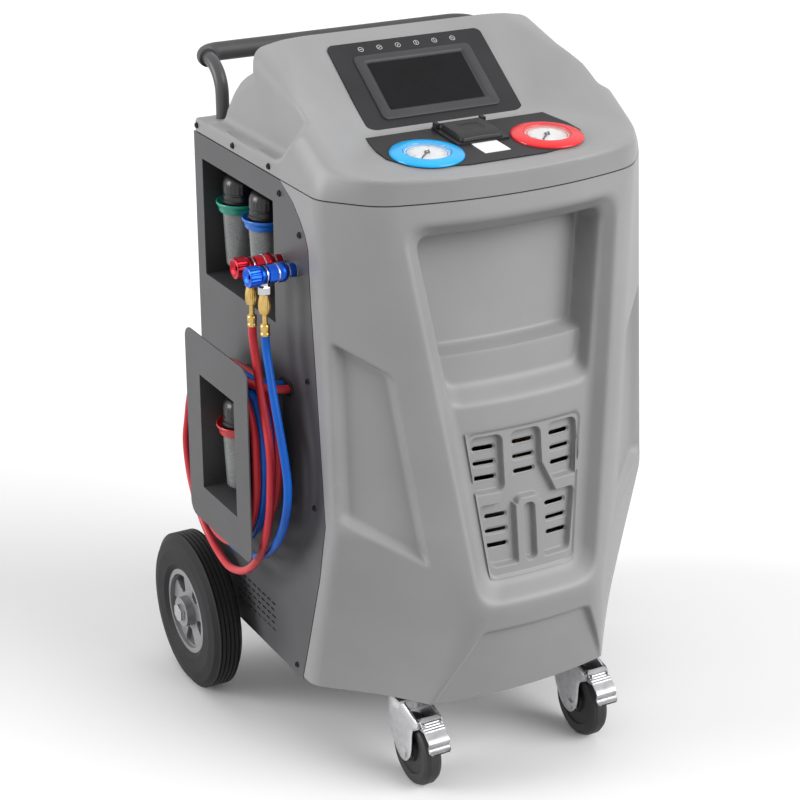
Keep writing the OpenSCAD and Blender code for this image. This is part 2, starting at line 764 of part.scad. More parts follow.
// Half round shelf under the rear half of a bottle's collar, rooted half way into the back wall at x
module cradle(at, x) {
    translate([0, 0, at[2] - move_gap - 3]) linear_extrude(3) difference() {
        translate([at[0], at[1] - collar_d / 2 + 3]) square([x - at[0] + sheet / 2, collar_d - 6]);
        translate([at[0], at[1]]) circle(vessel_r + 2);
    }
}
// Hose hanger: outer plate with a window, and the sleeve behind it that the hoses are wound on
module hose_hanger() {
    color([0.35, 0.35, 0.36]) {
        difference() {
            union() {
                translate([hanger_x + 2, 0, 0]) rotate([90, 0, -90]) linear_extrude(2) mirror([1, 0])
                    rounded([[hanger_y0, hanger_z0], [hanger_y1, hanger_z0], [hanger_y1, hanger_z1],
                        [hanger_y0, hanger_z1]], hanger_corner);
                translate([hanger_x + 1, sleeve_y0 - sheet, sleeve_z0 - sheet])
                    cube([sleeve_depth, sleeve_y1 - sleeve_y0 + 2 * sheet,
                        sleeve_z1 - sleeve_z0 + 2 * sheet]);
            }
            translate([hanger_x - cut, sleeve_y0, sleeve_z0])
                cube([sleeve_depth - sheet, sleeve_y1 - sleeve_y0, sleeve_z1 - sleeve_z0]);
        }
        cradle(used_oil_at, hanger_x + sleeve_depth - sheet - cut);
    }
}

// Thin printed plate round the display
module display_overlay() {
    color([0.12, 0.12, 0.13]) on_display() translate([0, 0, -overlay_t]) linear_extrude(overlay_t)
        difference() {
        plate_2d(overlay_w, overlay_len, 10);
        translate([0, frame_y]) plate_2d(screen_w + frame_wide, screen_h + frame_high, 8);
    }
}
module plate_2d(w, h, r) {
    rounded([[-w / 2, -h / 2], [w / 2, -h / 2], [w / 2, h / 2], [-w / 2, h / 2]], r);
}
// Raised frame round the screen
module display_frame() {
    color([0.28, 0.28, 0.29]) on_display() translate([0, 0, -overlay_t])
        linear_extrude(overlay_t + frame_h) difference() {
        translate([0, frame_y]) plate_2d(screen_w + frame_wide, screen_h + frame_high, 8);
        translate([0, screen_y]) plate_2d(screen_w, screen_h, 2);
    }
}
// Glass of the touch screen with its module behind
module touch_screen() {
    back = 12;
    color([0.1, 0.1, 0.11]) on_display() translate([0, screen_y, -overlay_t]) {
        linear_extrude(1.5) plate_2d(screen_w, screen_h, 2);
        translate([0, 0, -back]) linear_extrude(back) plate_2d(screen_w + 4, screen_h + 4, 3);
    }
}
// Thin printed plate over the gauge shelf, open for the gauges and the printer
module gauge_overlay() {
    color([0.12, 0.12, 0.13]) on_shelf() translate([0, 0, -overlay_t]) linear_extrude(overlay_t)
        difference() {
        polygon([for (q = concat(overlay_half, [for (i = [len(overlay_half) - 1 : -1 : 0])
            [-overlay_half[i][0], overlay_half[i][1]]])) q]);
        for (s = [-1, 1]) translate([s * gauge_x, gauge_y]) circle(case_r);
        translate([-printer_w / 2, printer_front]) square([printer_w, printer_back - printer_front]);
    }
}

// Gauge works: a can under the shelf with the dial's plate and a spindle on top
module gauge_cases() {
    color([0.92, 0.92, 0.92]) on_shelf() for (s = [-1, 1]) translate([s * gauge_x, gauge_y, 0]) {
        translate([0, 0, -case_depth]) cylinder(r = case_r, h = case_depth);
        cylinder(r = dial_r, h = dial_t);
        cylinder(r = spindle_r, h = lens_z - 1);
    }
}
module gauge_lenses() {
    color([0.9, 0.95, 1, 0.35]) on_shelf() for (s = [-1, 1])
        translate([s * gauge_x, gauge_y, lens_z]) cylinder(r = dial_r + 2, h = lens_t);
}
// Conical ring of a gauge with a seat for the lens
module gauge_bezel(s) {
    seat = dial_r + 2;
    on_shelf() translate([s * gauge_x, gauge_y, 0]) rotate_extrude()
        polygon([[dial_r, 0], [gauge_d / 2, 0], [gauge_d / 2, ring_edge], [seat + 3, ring_h], [seat, ring_h],
            [seat, lens_z], [dial_r, lens_z]]);
}
module low_gauge_bezel() {
    color([0.07, 0.72, 1]) gauge_bezel(-1);
}
module high_gauge_bezel() {
    color([0.96, 0.13, 0.16]) gauge_bezel(1);
}
// Pointer turning on the spindle, drawn at the zero of its scale
module gauge_pointer(s) {
    on_shelf() translate([s * gauge_x, gauge_y, dial_t + 0.6]) rotate([0, 0, 225]) difference() {
        union() {
            cylinder(r = 4, h = 1.4);
            translate([-9, -1, 0]) cube([33, 2, 1]);
        }
        translate([0, 0, -1]) cylinder(r = spindle_r + run_gap, h = 4);
    }
}
module low_gauge_pointer() {
    color([0.05, 0.05, 0.05]) gauge_pointer(-1);
}
module high_gauge_pointer() {
    color([0.05, 0.05, 0.05]) gauge_pointer(1);
}
// Printer: a well for the paper roll below the shelf, a rim above it and the lid's pin
module printer_body() {
    len = printer_back - printer_front;
    color([0.14, 0.14, 0.15]) on_shelf() {
        difference() {
            translate([-printer_w / 2, printer_front, -printer_drop])
                cube([printer_w, len, printer_drop + printer_h]);
            translate([-printer_w / 2 + 8, printer_front + 12, -printer_drop + 3])
                cube([printer_w - 16, len - 26, printer_drop + 20]);
        }
        for (s = [-1, 1]) translate([s * (printer_w / 2 - 4) - 3, printer_back - 11, 0])
            cube([6, 10, printer_h + 8]);
        translate([-printer_w / 2 + 4, printer_back - 6, printer_h + 4.6]) rotate([0, 90, 0])
            cylinder(r = lid_pin_r, h = printer_w - 8);
    }
}
// Printer lid with its barrel on the pin, and a shallow finger recess
module printer_lid() {
    w = printer_w - 16;
    color([0.17, 0.17, 0.18]) on_shelf() difference() {
        union() {
            translate([-w / 2, printer_front + 4, printer_h + move_gap])
                cube([w, printer_back - printer_front - 10, lid_h]);
            translate([-w / 2, printer_back - 6, printer_h + 4.6]) rotate([0, 90, 0])
                cylinder(r = lid_barrel_r, h = w);
        }
        translate([-w / 2 - 1, printer_back - 6, printer_h + 4.6]) rotate([0, 90, 0])
            cylinder(r = lid_pin_r + run_gap, h = w + 2);
        translate([-17, printer_front + 22, printer_h + lid_h - 2]) cube([34, 24, 10]);
        translate([-w / 2 - 1, printer_front + 4, printer_h + lid_h - 1]) rotate([32, 0, 0])
            translate([0, -20, 0]) cube([w + 2, 22, 12]);
    }
}
// End of the printed slip lying on the overlay in front of the printer
module printer_paper() {
    color([0.95, 0.95, 0.93]) on_shelf() translate([-20, printer_front - 38, 0]) cube([40, 38, 0.8]);
}

// One arm of the handle: straight tube, then a quarter bend to the rear
module handle_arm() {
    translate([-arm_x, arm_y, arm_low_z]) cylinder(d = arm_d, h = arm_bend_z - arm_low_z);
    translate([-arm_x, arm_y + arm_bend_r, arm_bend_z]) rotate([0, 90, 0]) rotate([0, 0, 180])
        rotate_extrude(angle = 90) translate([arm_bend_r, 0]) circle(d = arm_d);
}
module push_handle() {
    color([0.27, 0.27, 0.28]) for (m = [0, 1]) mirror([m, 0, 0]) handle_arm();
}
// Grip: bar across the back with a bend at each end, and a collar over the arm's end
module handle_grip() {
    color([0.22, 0.22, 0.23]) {
        translate([-arm_x + grip_corner, grip_y, grip_z]) rotate([0, 90, 0])
            cylinder(d = grip_d, h = 2 * (arm_x - grip_corner));
        for (m = [0, 1]) mirror([m, 0, 0]) {
            translate([-arm_x + grip_corner, grip_y - grip_corner, grip_z]) rotate([0, 0, 90])
                rotate_extrude(angle = 90) translate([grip_corner, 0]) circle(d = grip_d);
            translate([-arm_x, arm_y + arm_bend_r, grip_z]) rotate([-90, 0, 0])
                cylinder(d = grip_d, h = grip_y - grip_corner - arm_y - arm_bend_r);
        }
    }
}
// Screw heads along the side panels and the console's skirt
module cover_screws() {
    color([0.06, 0.06, 0.06]) for (m = [0, 1]) mirror([m, 0, 0])
        for (q = concat(panel_screws, skirt_screws)) translate([-side_x, q[0], q[1]]) rotate([0, -90, 0])
            difference() {
            cylinder(r1 = screw_r, r2 = screw_r - 1.2, h = screw_h);
            translate([0, 0, screw_h - 1.6]) cylinder(r = screw_key_r, h = 3, $fn = 6);
        }
}
// Mains module: flange on the rear panel, inlet socket with three pins, and the switch's frame and pin
module power_inlet() {
    mid = power_h / 2;
    floor_y = rear_y - socket_depth;
    color([0.08, 0.08, 0.08]) {
        difference() {
            union() {
                translate([power_x - 6, rear_y, power_z - 8])
                    cube([power_w + 12, power_flange, power_h + 16]);
                translate([power_x, rear_y - power_depth, power_z]) cube([power_w, power_depth, power_h]);
            }
            translate([power_x + 3, floor_y, power_z + 3]) cube([22, 40, power_h - 6]);
            translate([switch_x - 13, floor_y, power_z + 1]) cube([26, 40, power_h - 2]);
        }
        for (q = [[7, -3], [21, -3], [14, 4]])
            translate([power_x + q[0] - 1, floor_y, power_z + mid + q[1] - 2]) cube([2, 12, 4]);
        translate([switch_x, rear_y - 2, power_z + mid]) rotate([0, 90, 0])
            cylinder(r = switch_pin_r, h = 28, center = true);
    }
}
// Mains rocker turning on the pin of its frame, at rest with its lower half out
module power_rocker() {
    color([0.75, 0.1, 0.1]) translate([switch_x - 11, rear_y - 2, power_z + power_h / 2])
        rotate([90, 0, 90]) linear_extrude(22) difference() {
        union() {
            circle(3.6);
            polygon([[-2, -8.5], [6, -9], [9, -9], [5.5, 0], [5.5, 9], [-2, 8.5]]);
        }
        circle(switch_pin_r + run_gap);
    }
}

// Bottle: tapered clear vessel with a black quick coupling cap on top
module bottle(at) {
    neck = vessel_r - 2;
    foot = vessel_wall - vessel_len;
    translate(at) {
        rotate_extrude() polygon([[0, -vessel_len], [vessel_foot_r, -vessel_len], [neck, 0], [vessel_r, 0],
            [vessel_r, collar_h], [neck - vessel_wall, collar_h], [neck - vessel_wall, 0],
            [vessel_foot_r - vessel_wall, foot], [0, foot]]);
        translate([0, 0, collar_h]) cap();
    }
}
// Cap: flange, grooved cylinder and a domed top
module cap() {
    dome = cap_h - 16;
    rotate_extrude() polygon([[0, 0], [vessel_r, 0], [vessel_r, 3], [cap_r, 5], [cap_r, 12], [cap_r - 1, 13],
        [cap_r - 1, 15], [cap_r, 16], [cap_r, dome], [cap_r - 2, dome + 7], [cap_r - 7, dome + 12],
        [cap_r - 15, cap_h - 0.5], [0, cap_h]]);
}
// Coloured collar: flared cup with a lip and a fluted band, and a release clip beside the cap
module collar(at) {
    r = collar_d / 2;
    band = collar_h - collar_lip;
    translate(at) {
        difference() {
            rotate_extrude() polygon([[vessel_r, 0], [r - 3, 0], [r - 2, band - 1], [r, band], [r, collar_h],
                [vessel_r, collar_h]]);
            for (a = [0 : 15 : 345]) rotate([0, 0, a]) translate([r - 1.8, 0, 2])
                cylinder(r = 1.6, h = band - 4, $fn = 16);
        }
        rotate([0, 0, -35]) {
            translate([cap_r + 0.3, -9, collar_h + 18]) cube([9, 18, 14]);
            translate([cap_r + 5, -7, collar_h - 1]) cube([3.5, 14, 20]);
        }
    }
}
module new_oil_bottle() {
    color([0.3, 0.3, 0.3]) bottle(new_oil_at);
}
module new_oil_collar() {
    color([0.07, 0.65, 0.54]) collar(new_oil_at);
}
module dye_bottle() {
    color([0.3, 0.3, 0.3]) bottle(dye_at);
}
module dye_collar() {
    color([0.11, 0.53, 0.94]) collar(dye_at);
}
module used_oil_bottle() {
    color([0.3, 0.3, 0.3]) bottle(used_oil_at);
}
module used_oil_collar() {
    color([0.85, 0.14, 0.16]) collar(used_oil_at);
}

// Parking posts of the couplers: a flange on the panel, a nut behind it and a nipple
module coupler_posts() {
    color([0.8, 0.8, 0.8]) for (y = [high_coupler_y, low_coupler_y]) translate([-side_x, y, coupler_z])
        rotate([0, -90, 0]) {
        translate([0, 0, -sheet - 8]) cylinder(r = 12, h = 8, $fn = 6);
        translate([0, 0, -sheet - 8]) cylinder(r = post_r, h = post_len + sheet + 8);
        cylinder(r = 10, h = 3);
    }
}
// Quick coupler body: neck over the post, stepped barrel, groove and stem for the hand knob
module coupler_body(y) {
    far = coupler_neck + coupler_len;
    tip = far + knob_len - 4;
    seat = post_len - 3;
    translate([-side_x - 3, y, coupler_z]) rotate([0, -90, 0]) rotate_extrude()
        polygon([[post_r, 0], [neck_r, 0], [neck_r, coupler_neck], [coupler_r - 1, coupler_neck + 2],
            [coupler_r, coupler_neck + 4], [coupler_r, coupler_neck + 10], [coupler_r - 1, coupler_neck + 11],
            [coupler_r - 1, far - 12], [coupler_r - 3, far - 11], [coupler_r - 3, far - 7],
            [coupler_r - 1, far - 6], [coupler_r - 1, far - 2], [9, far], [stem_knob_r, far],
            [stem_knob_r, tip], [0, tip], [0, seat], [post_r, seat]]);
}
// Hand knob with a knurled edge and an open centre, turning on the stem
module coupler_knob(y) {
    translate([-side_x - 3 - coupler_neck - coupler_len - move_gap, y, coupler_z]) rotate([0, -90, 0])
        difference() {
        cylinder(d = knob_d, h = knob_len);
        translate([0, 0, -1]) cylinder(r = stem_knob_r + run_gap, h = knob_len + 2);
        translate([0, 0, knob_len - 3]) cylinder(r1 = stem_knob_r + 2, r2 = knob_d / 2 - 3, h = 3 + cut);
        for (a = [0 : 20 : 340]) rotate([0, 0, a]) translate([knob_d / 2 + 0.5, 0, -1])
            cylinder(r = 1.4, h = knob_len - 2, $fn = 16);
    }
}
module low_coupler_body() {
    color([0.12, 0.34, 0.78]) coupler_body(low_coupler_y);
}
module high_coupler_body() {
    color([0.7, 0.13, 0.18]) coupler_body(high_coupler_y);
}
module low_coupler_knob() {
    color([0.15, 0.4, 0.9]) coupler_knob(low_coupler_y);
}
module high_coupler_knob() {
    color([0.78, 0.15, 0.22]) coupler_knob(high_coupler_y);
}
// Brass hose ends: crimped sleeve on the hose, thin stem, round nut and hexagon nut under the coupler
module hose_end_fittings() {
    stem_z = fitting_low_z + crimp_len;
    nut_z = stem_z + stem_len;
    hex_z = nut_z + round_nut_len;
    color([0.79, 0.64, 0.29]) for (y = [high_coupler_y, low_coupler_y]) translate([port_x, y, 0]) {
        difference() {
            translate([0, 0, hex_z]) cylinder(r = port_r, h = coupler_z - hex_z);
            translate([0, 0, coupler_z]) rotate([0, 90, 0])
                cylinder(r = coupler_r - 1, h = through, center = true);
        }
        difference() {
            translate([0, 0, hex_z]) cylinder(r = hex_nut_r, h = hex_nut_len, $fn = 6);
            translate([0, 0, coupler_z]) rotate([0, 90, 0])
                cylinder(r = knob_d / 2 + move_gap, h = through, center = true);
        }
        rotate_extrude() polygon([[0, fitting_low_z], [hose_d / 2 + 1.5, fitting_low_z],
            [hose_d / 2 + 1.5, stem_z - 2], [stem_r, stem_z], [stem_r, nut_z], [round_nut_r - 1.5, nut_z],
            [round_nut_r, nut_z + 1.5], [round_nut_r, hex_z - 1.5], [round_nut_r - 1.5, hex_z], [0, hex_z]]);
    }
}
// Tube of circular rings along a route of points
module hose_tube(route) {
    n = len(route);
    dirs = [for (i = [0 : n - 1]) unit(route[min(i + 1, n - 1)] - route[max(i - 1, 0)])];
    points = [for (i = [0 : n - 1]) let (side = unit(cross(dirs[i], [0, 1, 0.35])),
        up = cross(side, dirs[i]))
        for (k = [0 : hose_sides - 1]) route[i] + (cos(k * 360 / hose_sides) * side
            + sin(k * 360 / hose_sides) * up) * hose_d / 2];
    skin = [for (i = [0 : n - 2]) for (k = [0 : hose_sides - 1]) let (a = i * hose_sides + k,
        b = i * hose_sides + (k + 1) % hose_sides) [a, b, b + hose_sides, a + hose_sides]];
    polyhedron(points, concat([[for (k = [hose_sides - 1 : -1 : 0]) k]], skin,
        [[for (k = [0 : hose_sides - 1]) (n - 1) * hose_sides + k]]), convexity = 4);
}
module low_hose() {
    color([0.04, 0.4, 0.78]) {
        hose_tube(low_lead);
        hose_tube(low_tail);
    }
}
module high_hose() {
    color([0.85, 0.23, 0.25]) {
        hose_tube(high_lead);
        hose_tube(high_tail);
    }
}
// Outer shape of the turns wound on the hanger's sleeve
module hose_coil() {
    color([0.6, 0.2, 0.3]) translate([coil_x0, 0, 0]) rotate([90, 0, -90])
        linear_extrude(coil_x0 - coil_x1)
        mirror([1, 0]) difference() {
            rounded(coil_outline, 34);
            rounded(coil_outline, 16, -coil_band);
        }
}
// Oval rubber grommet where both hoses come out of the panel
module hose_grommet() {
    color([0.07, 0.07, 0.07]) {
        on_left_at(panel_in_x - grommet_lip) grommet_shape(0);
        on_left_at(panel_in_x) grommet_shape(grommet_lip);
        on_left_at(side_x) grommet_shape(0);
    }
}
// Layer of the grommet, one lip thick, from a plane at a distance x left of the middle
module on_left_at(x) {
    translate([-x, 0, 0]) rotate([90, 0, -90]) linear_extrude(x == panel_in_x ? sheet : grommet_lip)
        mirror([1, 0]) children();
}
module grommet_shape(g) {
    translate(grommet_at) slot_shape(grommet_w - 2 * g, grommet_h - 2 * g);
}

// Tyre with five grooves round its tread, on the rim's seat
module tyre(m) {
    h = tyre_w / 2;
    shoulder_in = [[rim_r, 6], [rim_r + 8, 1], [tyre_r - 26, 0], [tyre_r - 10, 3], [tyre_r - 3, 9]];
    n = len(shoulder_in) - 1;
    groove = [[0, -2.4], [0, -1], [-3, -0.6], [-3, 0.6], [0, 1], [0, 2.4]];
    mirror([m, 0, 0]) translate([-tyre_mid_x, axle_y, axle_z]) rotate([0, 90, 0])
        rotate_extrude($fn = 96) polygon(concat([for (q = shoulder_in) [q[0], q[1] - h]],
            [for (i = [-2 : 2]) for (q = groove) [tyre_r + q[0], i * 7 + q[1]]],
            [for (i = [n : -1 : 0]) [shoulder_in[i][0], h - shoulder_in[i][1]]]));
}
// Rim: seat ring with a lip, five spokes in a dished disc and a hub bored for the axle
module rim(m) {
    h = tyre_w / 2;
    mirror([m, 0, 0]) translate([-tyre_mid_x, axle_y, axle_z]) rotate([0, 90, 0]) difference() {
        union() {
            rotate_extrude()
                polygon([[rim_r - 8, -h + 5], [rim_r, -h + 6], [rim_r, h - 6], [rim_r - 8, h - 5]]);
            translate([0, 0, -h + 12]) cylinder(r = rim_r - 6, h = 8);
            translate([0, 0, -h - 2]) cylinder(r = hub_r, h = 2 * h - 4);
        }
        for (i = [0 : spokes - 1]) rotate([0, 0, i * 360 / spokes]) translate([0, 0, -h])
            linear_extrude(40)
            rounded([[hub_r + 6, -6], [rim_r - 11, -19], [rim_r - 9, 19], [hub_r + 6, 6]], 4);
        translate([0, 0, -60]) cylinder(r = axle_d / 2 + run_gap, h = 120);
    }
}
module left_tyre() {
    color([0.14, 0.14, 0.15]) tyre(0);
}
module left_rim() {
    color([0.55, 0.55, 0.55]) rim(0);
}
module right_tyre() {
    color([0.14, 0.14, 0.15]) tyre(1);
}
module right_rim() {
    color([0.55, 0.55, 0.55]) rim(1);
}
// Rear axle with a spacer collar inside each wheel and a nut and round end outside
module rear_axle() {
    color([0.8, 0.8, 0.82]) translate([0, axle_y, axle_z]) rotate([0, 90, 0]) {
        cylinder(d = axle_d, h = 2 * axle_end_x - 14, center = true);
        for (m = [0, 1]) mirror([0, 0, m]) {
            translate([0, 0, ear_x + ear_t / 2])
                cylinder(r = nut_r, h = tyre_in_x + 6 - move_gap - ear_x - ear_t / 2);
            translate([0, 0, tyre_in_x + tyre_w + 2 + move_gap])
                cylinder(r = nut_r, h = nut_h - 3, $fn = 6);
            translate([0, 0, axle_end_x - 7]) sphere(r = 7);
        }
    }
}

// Top plates of the casters with their kingpins, bolted under the chassis
module caster_plates() {
    color([0.82, 0.82, 0.82]) for (s = [-1, 1]) translate([s * caster_x, caster_y, 0]) {
        translate([-30, -30, floor_z - caster_plate_t]) cube([60, 60, caster_plate_t]);
        translate([0, 0, fork_top_z - fork_cap_h - 6]) cylinder(r = kingpin_r, h = fork_cap_h + 8);
        translate([0, 0, fork_top_z - fork_cap_h - 6]) cylinder(r = kingpin_r + 5, h = 5.5);
    }
}
// Fork: round cap on the kingpin, two bent arms, the axle bolt and the pedal's pin
module caster_fork(s) {
    low = fork_top_z - fork_cap_h;
    color([0.85, 0.85, 0.85]) translate([s * caster_x, caster_y, 0]) {
        difference() {
            union() {
                translate([0, 0, low]) cylinder(r = 27, h = fork_cap_h);
                for (d = [-1, 1]) translate([d * (caster_w / 2 + 3 + fork_t / 2) - fork_t / 2, 0, 0])
                    rotate([90, 0, 90]) linear_extrude(fork_t) fork_arm(low);
                translate([-caster_w / 2 - 4, -26, low]) cube([caster_w + 8, 48, fork_cap_h - 2]);
            }
            translate([0, 0, low - 1]) cylinder(r = kingpin_r + run_gap, h = fork_cap_h + 2);
            translate([-caster_w / 2 - 2.9, -80, low - 20]) cube([caster_w + 5.8, 130, 20]);
        }
        translate([0, -caster_trail, caster_r]) rotate([0, 90, 0]) {
            cylinder(r = bolt_r, h = caster_w + 6, center = true);
            for (d = [-1, 1]) translate([0, 0, d * (caster_w / 2 + 3 + fork_t + 2.5)])
                cylinder(r = bolt_r + 3, h = 5, center = true, $fn = 6);
        }
        translate([0, pedal_pivot[0], pedal_pivot[1]]) rotate([0, 90, 0])
            cylinder(r = pedal_pin_r, h = caster_w + 6, center = true);
    }
}
// Side view of a fork arm as y and z: from the cap down to the bolt, and forwards to the pedal's pin
module fork_arm(low) {
    polygon([[22, fork_top_z - 2], [18, low - 8], [-caster_trail + 13, caster_r - 6],
        [-caster_trail, caster_r - 13], [-caster_trail - 13, caster_r - 4], [-46, 96],
        pedal_pivot - [6, 6], pedal_pivot + [-6, 5], pedal_pivot + [6, 6], [-26, fork_top_z - 2]]);
}
// Caster wheel: tyre with rounded shoulders on a core bored for the axle bolt
module caster_wheel(s) {
    h = caster_w / 2;
    half = [[bolt_r + run_gap, 1], [16, 1], [17, -4], [34, -4], [36, -1], [caster_r - 8, 0],
        [caster_r - 3, -2.5], [caster_r, -8]];
    n = len(half) - 1;
    color([0.1, 0.1, 0.1]) translate([s * caster_x, caster_y - caster_trail, caster_r]) rotate([0, 90, 0])
        rotate_extrude() polygon(concat([for (q = half) [q[0], -h - q[1]]],
            [for (i = [n : -1 : 0]) [half[i][0], h + half[i][1]]]));
}
// Brake pedal: barrel on the fork's pin, sloped tread with ribs and a turned lower edge
module brake_pedal(s) {
    color([0.88, 0.88, 0.88]) translate([s * caster_x, caster_y + pedal_pivot[0], pedal_pivot[1]])
        difference() {
        union() {
            rotate([0, 90, 0]) cylinder(r = pedal_pin_r + 3.5, h = caster_w + 4, center = true);
            rotate([pedal_drop, 0, 0]) {
                rotate([90, 0, 90]) linear_extrude(pedal_w, center = true)
                    polygon([[-16, 4], [-16, 8], [-pedal_len, 8], [-pedal_len - 3, 7],
                        [-pedal_len - 4, 4], [-pedal_len - 4, -5], [-pedal_len, -5], [-pedal_len, 4]]);
                translate([-caster_w / 2 - 2, -17, 2]) cube([caster_w + 4, 16, 5]);
                for (i = [0 : 3]) translate([-pedal_w / 2 + 4, -pedal_len + 26 + i * 7, 7])
                    cube([pedal_w - 8, 2.5, 2.2]);
            }
        }
        rotate([0, 90, 0]) cylinder(r = pedal_pin_r + run_gap, h = 80, center = true);
    }
}
module left_caster_fork() {
    caster_fork(-1);
}
module right_caster_fork() {
    caster_fork(1);
}
module left_caster_wheel() {
    caster_wheel(-1);
}
module right_caster_wheel() {
    caster_wheel(1);
}
module left_brake_pedal() {
    brake_pedal(-1);
}
module right_brake_pedal() {
    brake_pedal(1);
}

// Refrigerant tank with domed ends, a foot ring and its valve, standing on the scale
module refrigerant_tank() {
    z = floor_z + tray_t + scale_h;
    ring = [80, 84];
    neck = 16;
    color([0.75, 0.78, 0.8]) translate([tank_at[0], tank_at[1], z]) rotate_extrude()
        polygon([[0, 20], [60, 12], [ring[0], 12], [ring[0], 0], [ring[1], 0], [ring[1], 16],
            [tank_r - 6, 26], [tank_r, 44], [tank_r, tank_h - 60], [tank_r - 8, tank_h - 34],
            [70, tank_h - 12], [30, tank_h], [neck, tank_h], [neck, tank_h + 34], [0, tank_h + 34]]);
}
// Load cell platform under the tank
module tank_scale() {
    low = scale_plate[0];
    high = scale_h - scale_plate[1];
    color([0.6, 0.6, 0.62]) translate([tank_at[0], tank_at[1], floor_z + tray_t]) {
        translate([-scale_w / 2 + 5, -scale_w / 2 + 5, 0]) cube([scale_w - 10, scale_w - 10, low]);
        translate([-cell_size[0] / 2, -cell_size[1] / 2, low]) cube([cell_size[0], cell_size[1], high - low]);
        translate([-scale_w / 2, -scale_w / 2, high]) cube([scale_w, scale_w, scale_plate[1]]);
    }
}
// Hermetic compressor: welded can on three feet
module compressor() {
    foot = 10;
    color([0.1, 0.1, 0.1]) translate([comp_at[0], comp_at[1], floor_z + tray_t]) {
        translate([0, 0, foot]) rotate_extrude()
            polygon([[0, 0], [comp_r - 16, 2], [comp_r, 18], [comp_r, comp_h - 40],
                [comp_r - 18, comp_h - 12], [0, comp_h - 2]]);
        for (a = [30, 150, 270]) rotate([0, 0, a]) translate([comp_r - 26, -9, 0])
            cube([30, 18, foot + 8]);
    }
}
// Vacuum pump: motor along X with an oil case, on a foot plate
module vacuum_pump() {
    color([0.2, 0.25, 0.35]) translate([pump_at[0], pump_at[1], floor_z + tray_t]) {
        translate([-70, -40, 0]) cube([150, 80, 8]);
        translate([-70, 0, 62]) rotate([0, 90, 0]) cylinder(r = pump_r, h = 84);
        translate([14, -pump_r, 8]) cube([66, 2 * pump_r, 104]);
        translate([-60, -20, 6]) cube([60, 40, 24]);
    }
}
// Valve block with its solenoids and the filter drier below it, on the right front post
module valve_block() {
    x = front_post[0] - post_w / 2;
    mid = x - valve_size[0] / 2;
    color([0.7, 0.6, 0.35]) {
        translate([x - valve_size[0], valve_at[0], valve_at[1]]) cube(valve_size);
        for (i = [0 : 4]) translate([mid, valve_at[0] + 22 + i * solenoid_pitch, valve_at[1] + valve_size[2]])
            cylinder(r = solenoid_r, h = solenoid_h);
        translate([mid, valve_at[0] + 100, valve_at[1] - drier_h]) cylinder(r = drier_r, h = drier_h);
    }
}
// Control board behind the display, held by the screen's module
module control_board() {
    color([0.1, 0.4, 0.2]) on_display() translate([0, -4, -overlay_t - 12]) {
        translate([-70, -40, -8]) cube([140, 80, 1.6]);
        for (x = [-60, 60]) for (y = [-32, 32]) translate([x, y, -8]) cylinder(r = 4, h = 8);
        translate([-40, -20, -20]) cube([50, 34, 12]);
        translate([24, -10, -16]) cube([26, 26, 8]);
    }
}

chassis();
left_side_panel();
right_side_panel();
rear_panel();
front_shell();
head_shell();
bottle_niche();
hose_hanger();
display_overlay();
display_frame();
touch_screen();
gauge_overlay();
gauge_cases();
gauge_lenses();
low_gauge_bezel();
high_gauge_bezel();
low_gauge_pointer();
high_gauge_pointer();
printer_body();
printer_lid();
printer_paper();
push_handle();
handle_grip();
cover_screws();
power_inlet();
power_rocker();
new_oil_bottle();
new_oil_collar();
dye_bottle();
dye_collar();
used_oil_bottle();
used_oil_collar();
low_coupler_body();
low_coupler_knob();
high_coupler_body();
high_coupler_knob();
hose_end_fittings();
coupler_posts();
low_hose();
high_hose();
hose_coil();
hose_grommet();
left_tyre();
left_rim();
right_tyre();
right_rim();
rear_axle();
caster_plates();
left_caster_fork();
left_caster_wheel();
left_brake_pedal();
right_caster_fork();
right_caster_wheel();
right_brake_pedal();
refrigerant_tank();
tank_scale();
compressor();
vacuum_pump();
valve_block();
control_board();
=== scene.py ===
import bpy
import bmesh
import numpy as np
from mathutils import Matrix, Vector


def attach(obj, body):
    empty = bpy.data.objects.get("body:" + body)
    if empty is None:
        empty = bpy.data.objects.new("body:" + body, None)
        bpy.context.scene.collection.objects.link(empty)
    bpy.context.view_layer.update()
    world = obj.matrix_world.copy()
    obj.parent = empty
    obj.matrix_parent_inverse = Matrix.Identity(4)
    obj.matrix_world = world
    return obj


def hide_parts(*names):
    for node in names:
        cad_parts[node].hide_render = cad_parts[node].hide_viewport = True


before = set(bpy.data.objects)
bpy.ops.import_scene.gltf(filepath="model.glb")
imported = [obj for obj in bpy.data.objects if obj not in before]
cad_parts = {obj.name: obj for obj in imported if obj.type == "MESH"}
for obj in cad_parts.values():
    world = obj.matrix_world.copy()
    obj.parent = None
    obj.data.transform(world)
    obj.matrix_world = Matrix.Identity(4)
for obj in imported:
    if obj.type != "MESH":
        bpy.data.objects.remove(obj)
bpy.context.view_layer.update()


# Camera: the photograph's viewpoint, from the left front and above, with a longish lens. Its place,
# aim and focal length are fitted to the cabinet's edges.
def aim(thing, target):
    """Turns a camera or lamp so that it looks from its place to the target."""
    thing.rotation_euler = (Vector(target) - thing.location).to_track_quat("-Z", "Y").to_euler()


scene = bpy.context.scene
camera = bpy.data.objects.new("camera", bpy.data.cameras.new("camera"))
camera.data.lens = 96.34
camera.data.sensor_width = 36.0
camera.data.clip_end = 60.0
camera.location = (-1.4712, -2.5831, 1.7336)
aim(camera, (0.0, 0.08839, 0.46385))
scene.collection.objects.link(camera)
scene.camera = camera
scene.view_settings.view_transform = "Standard"


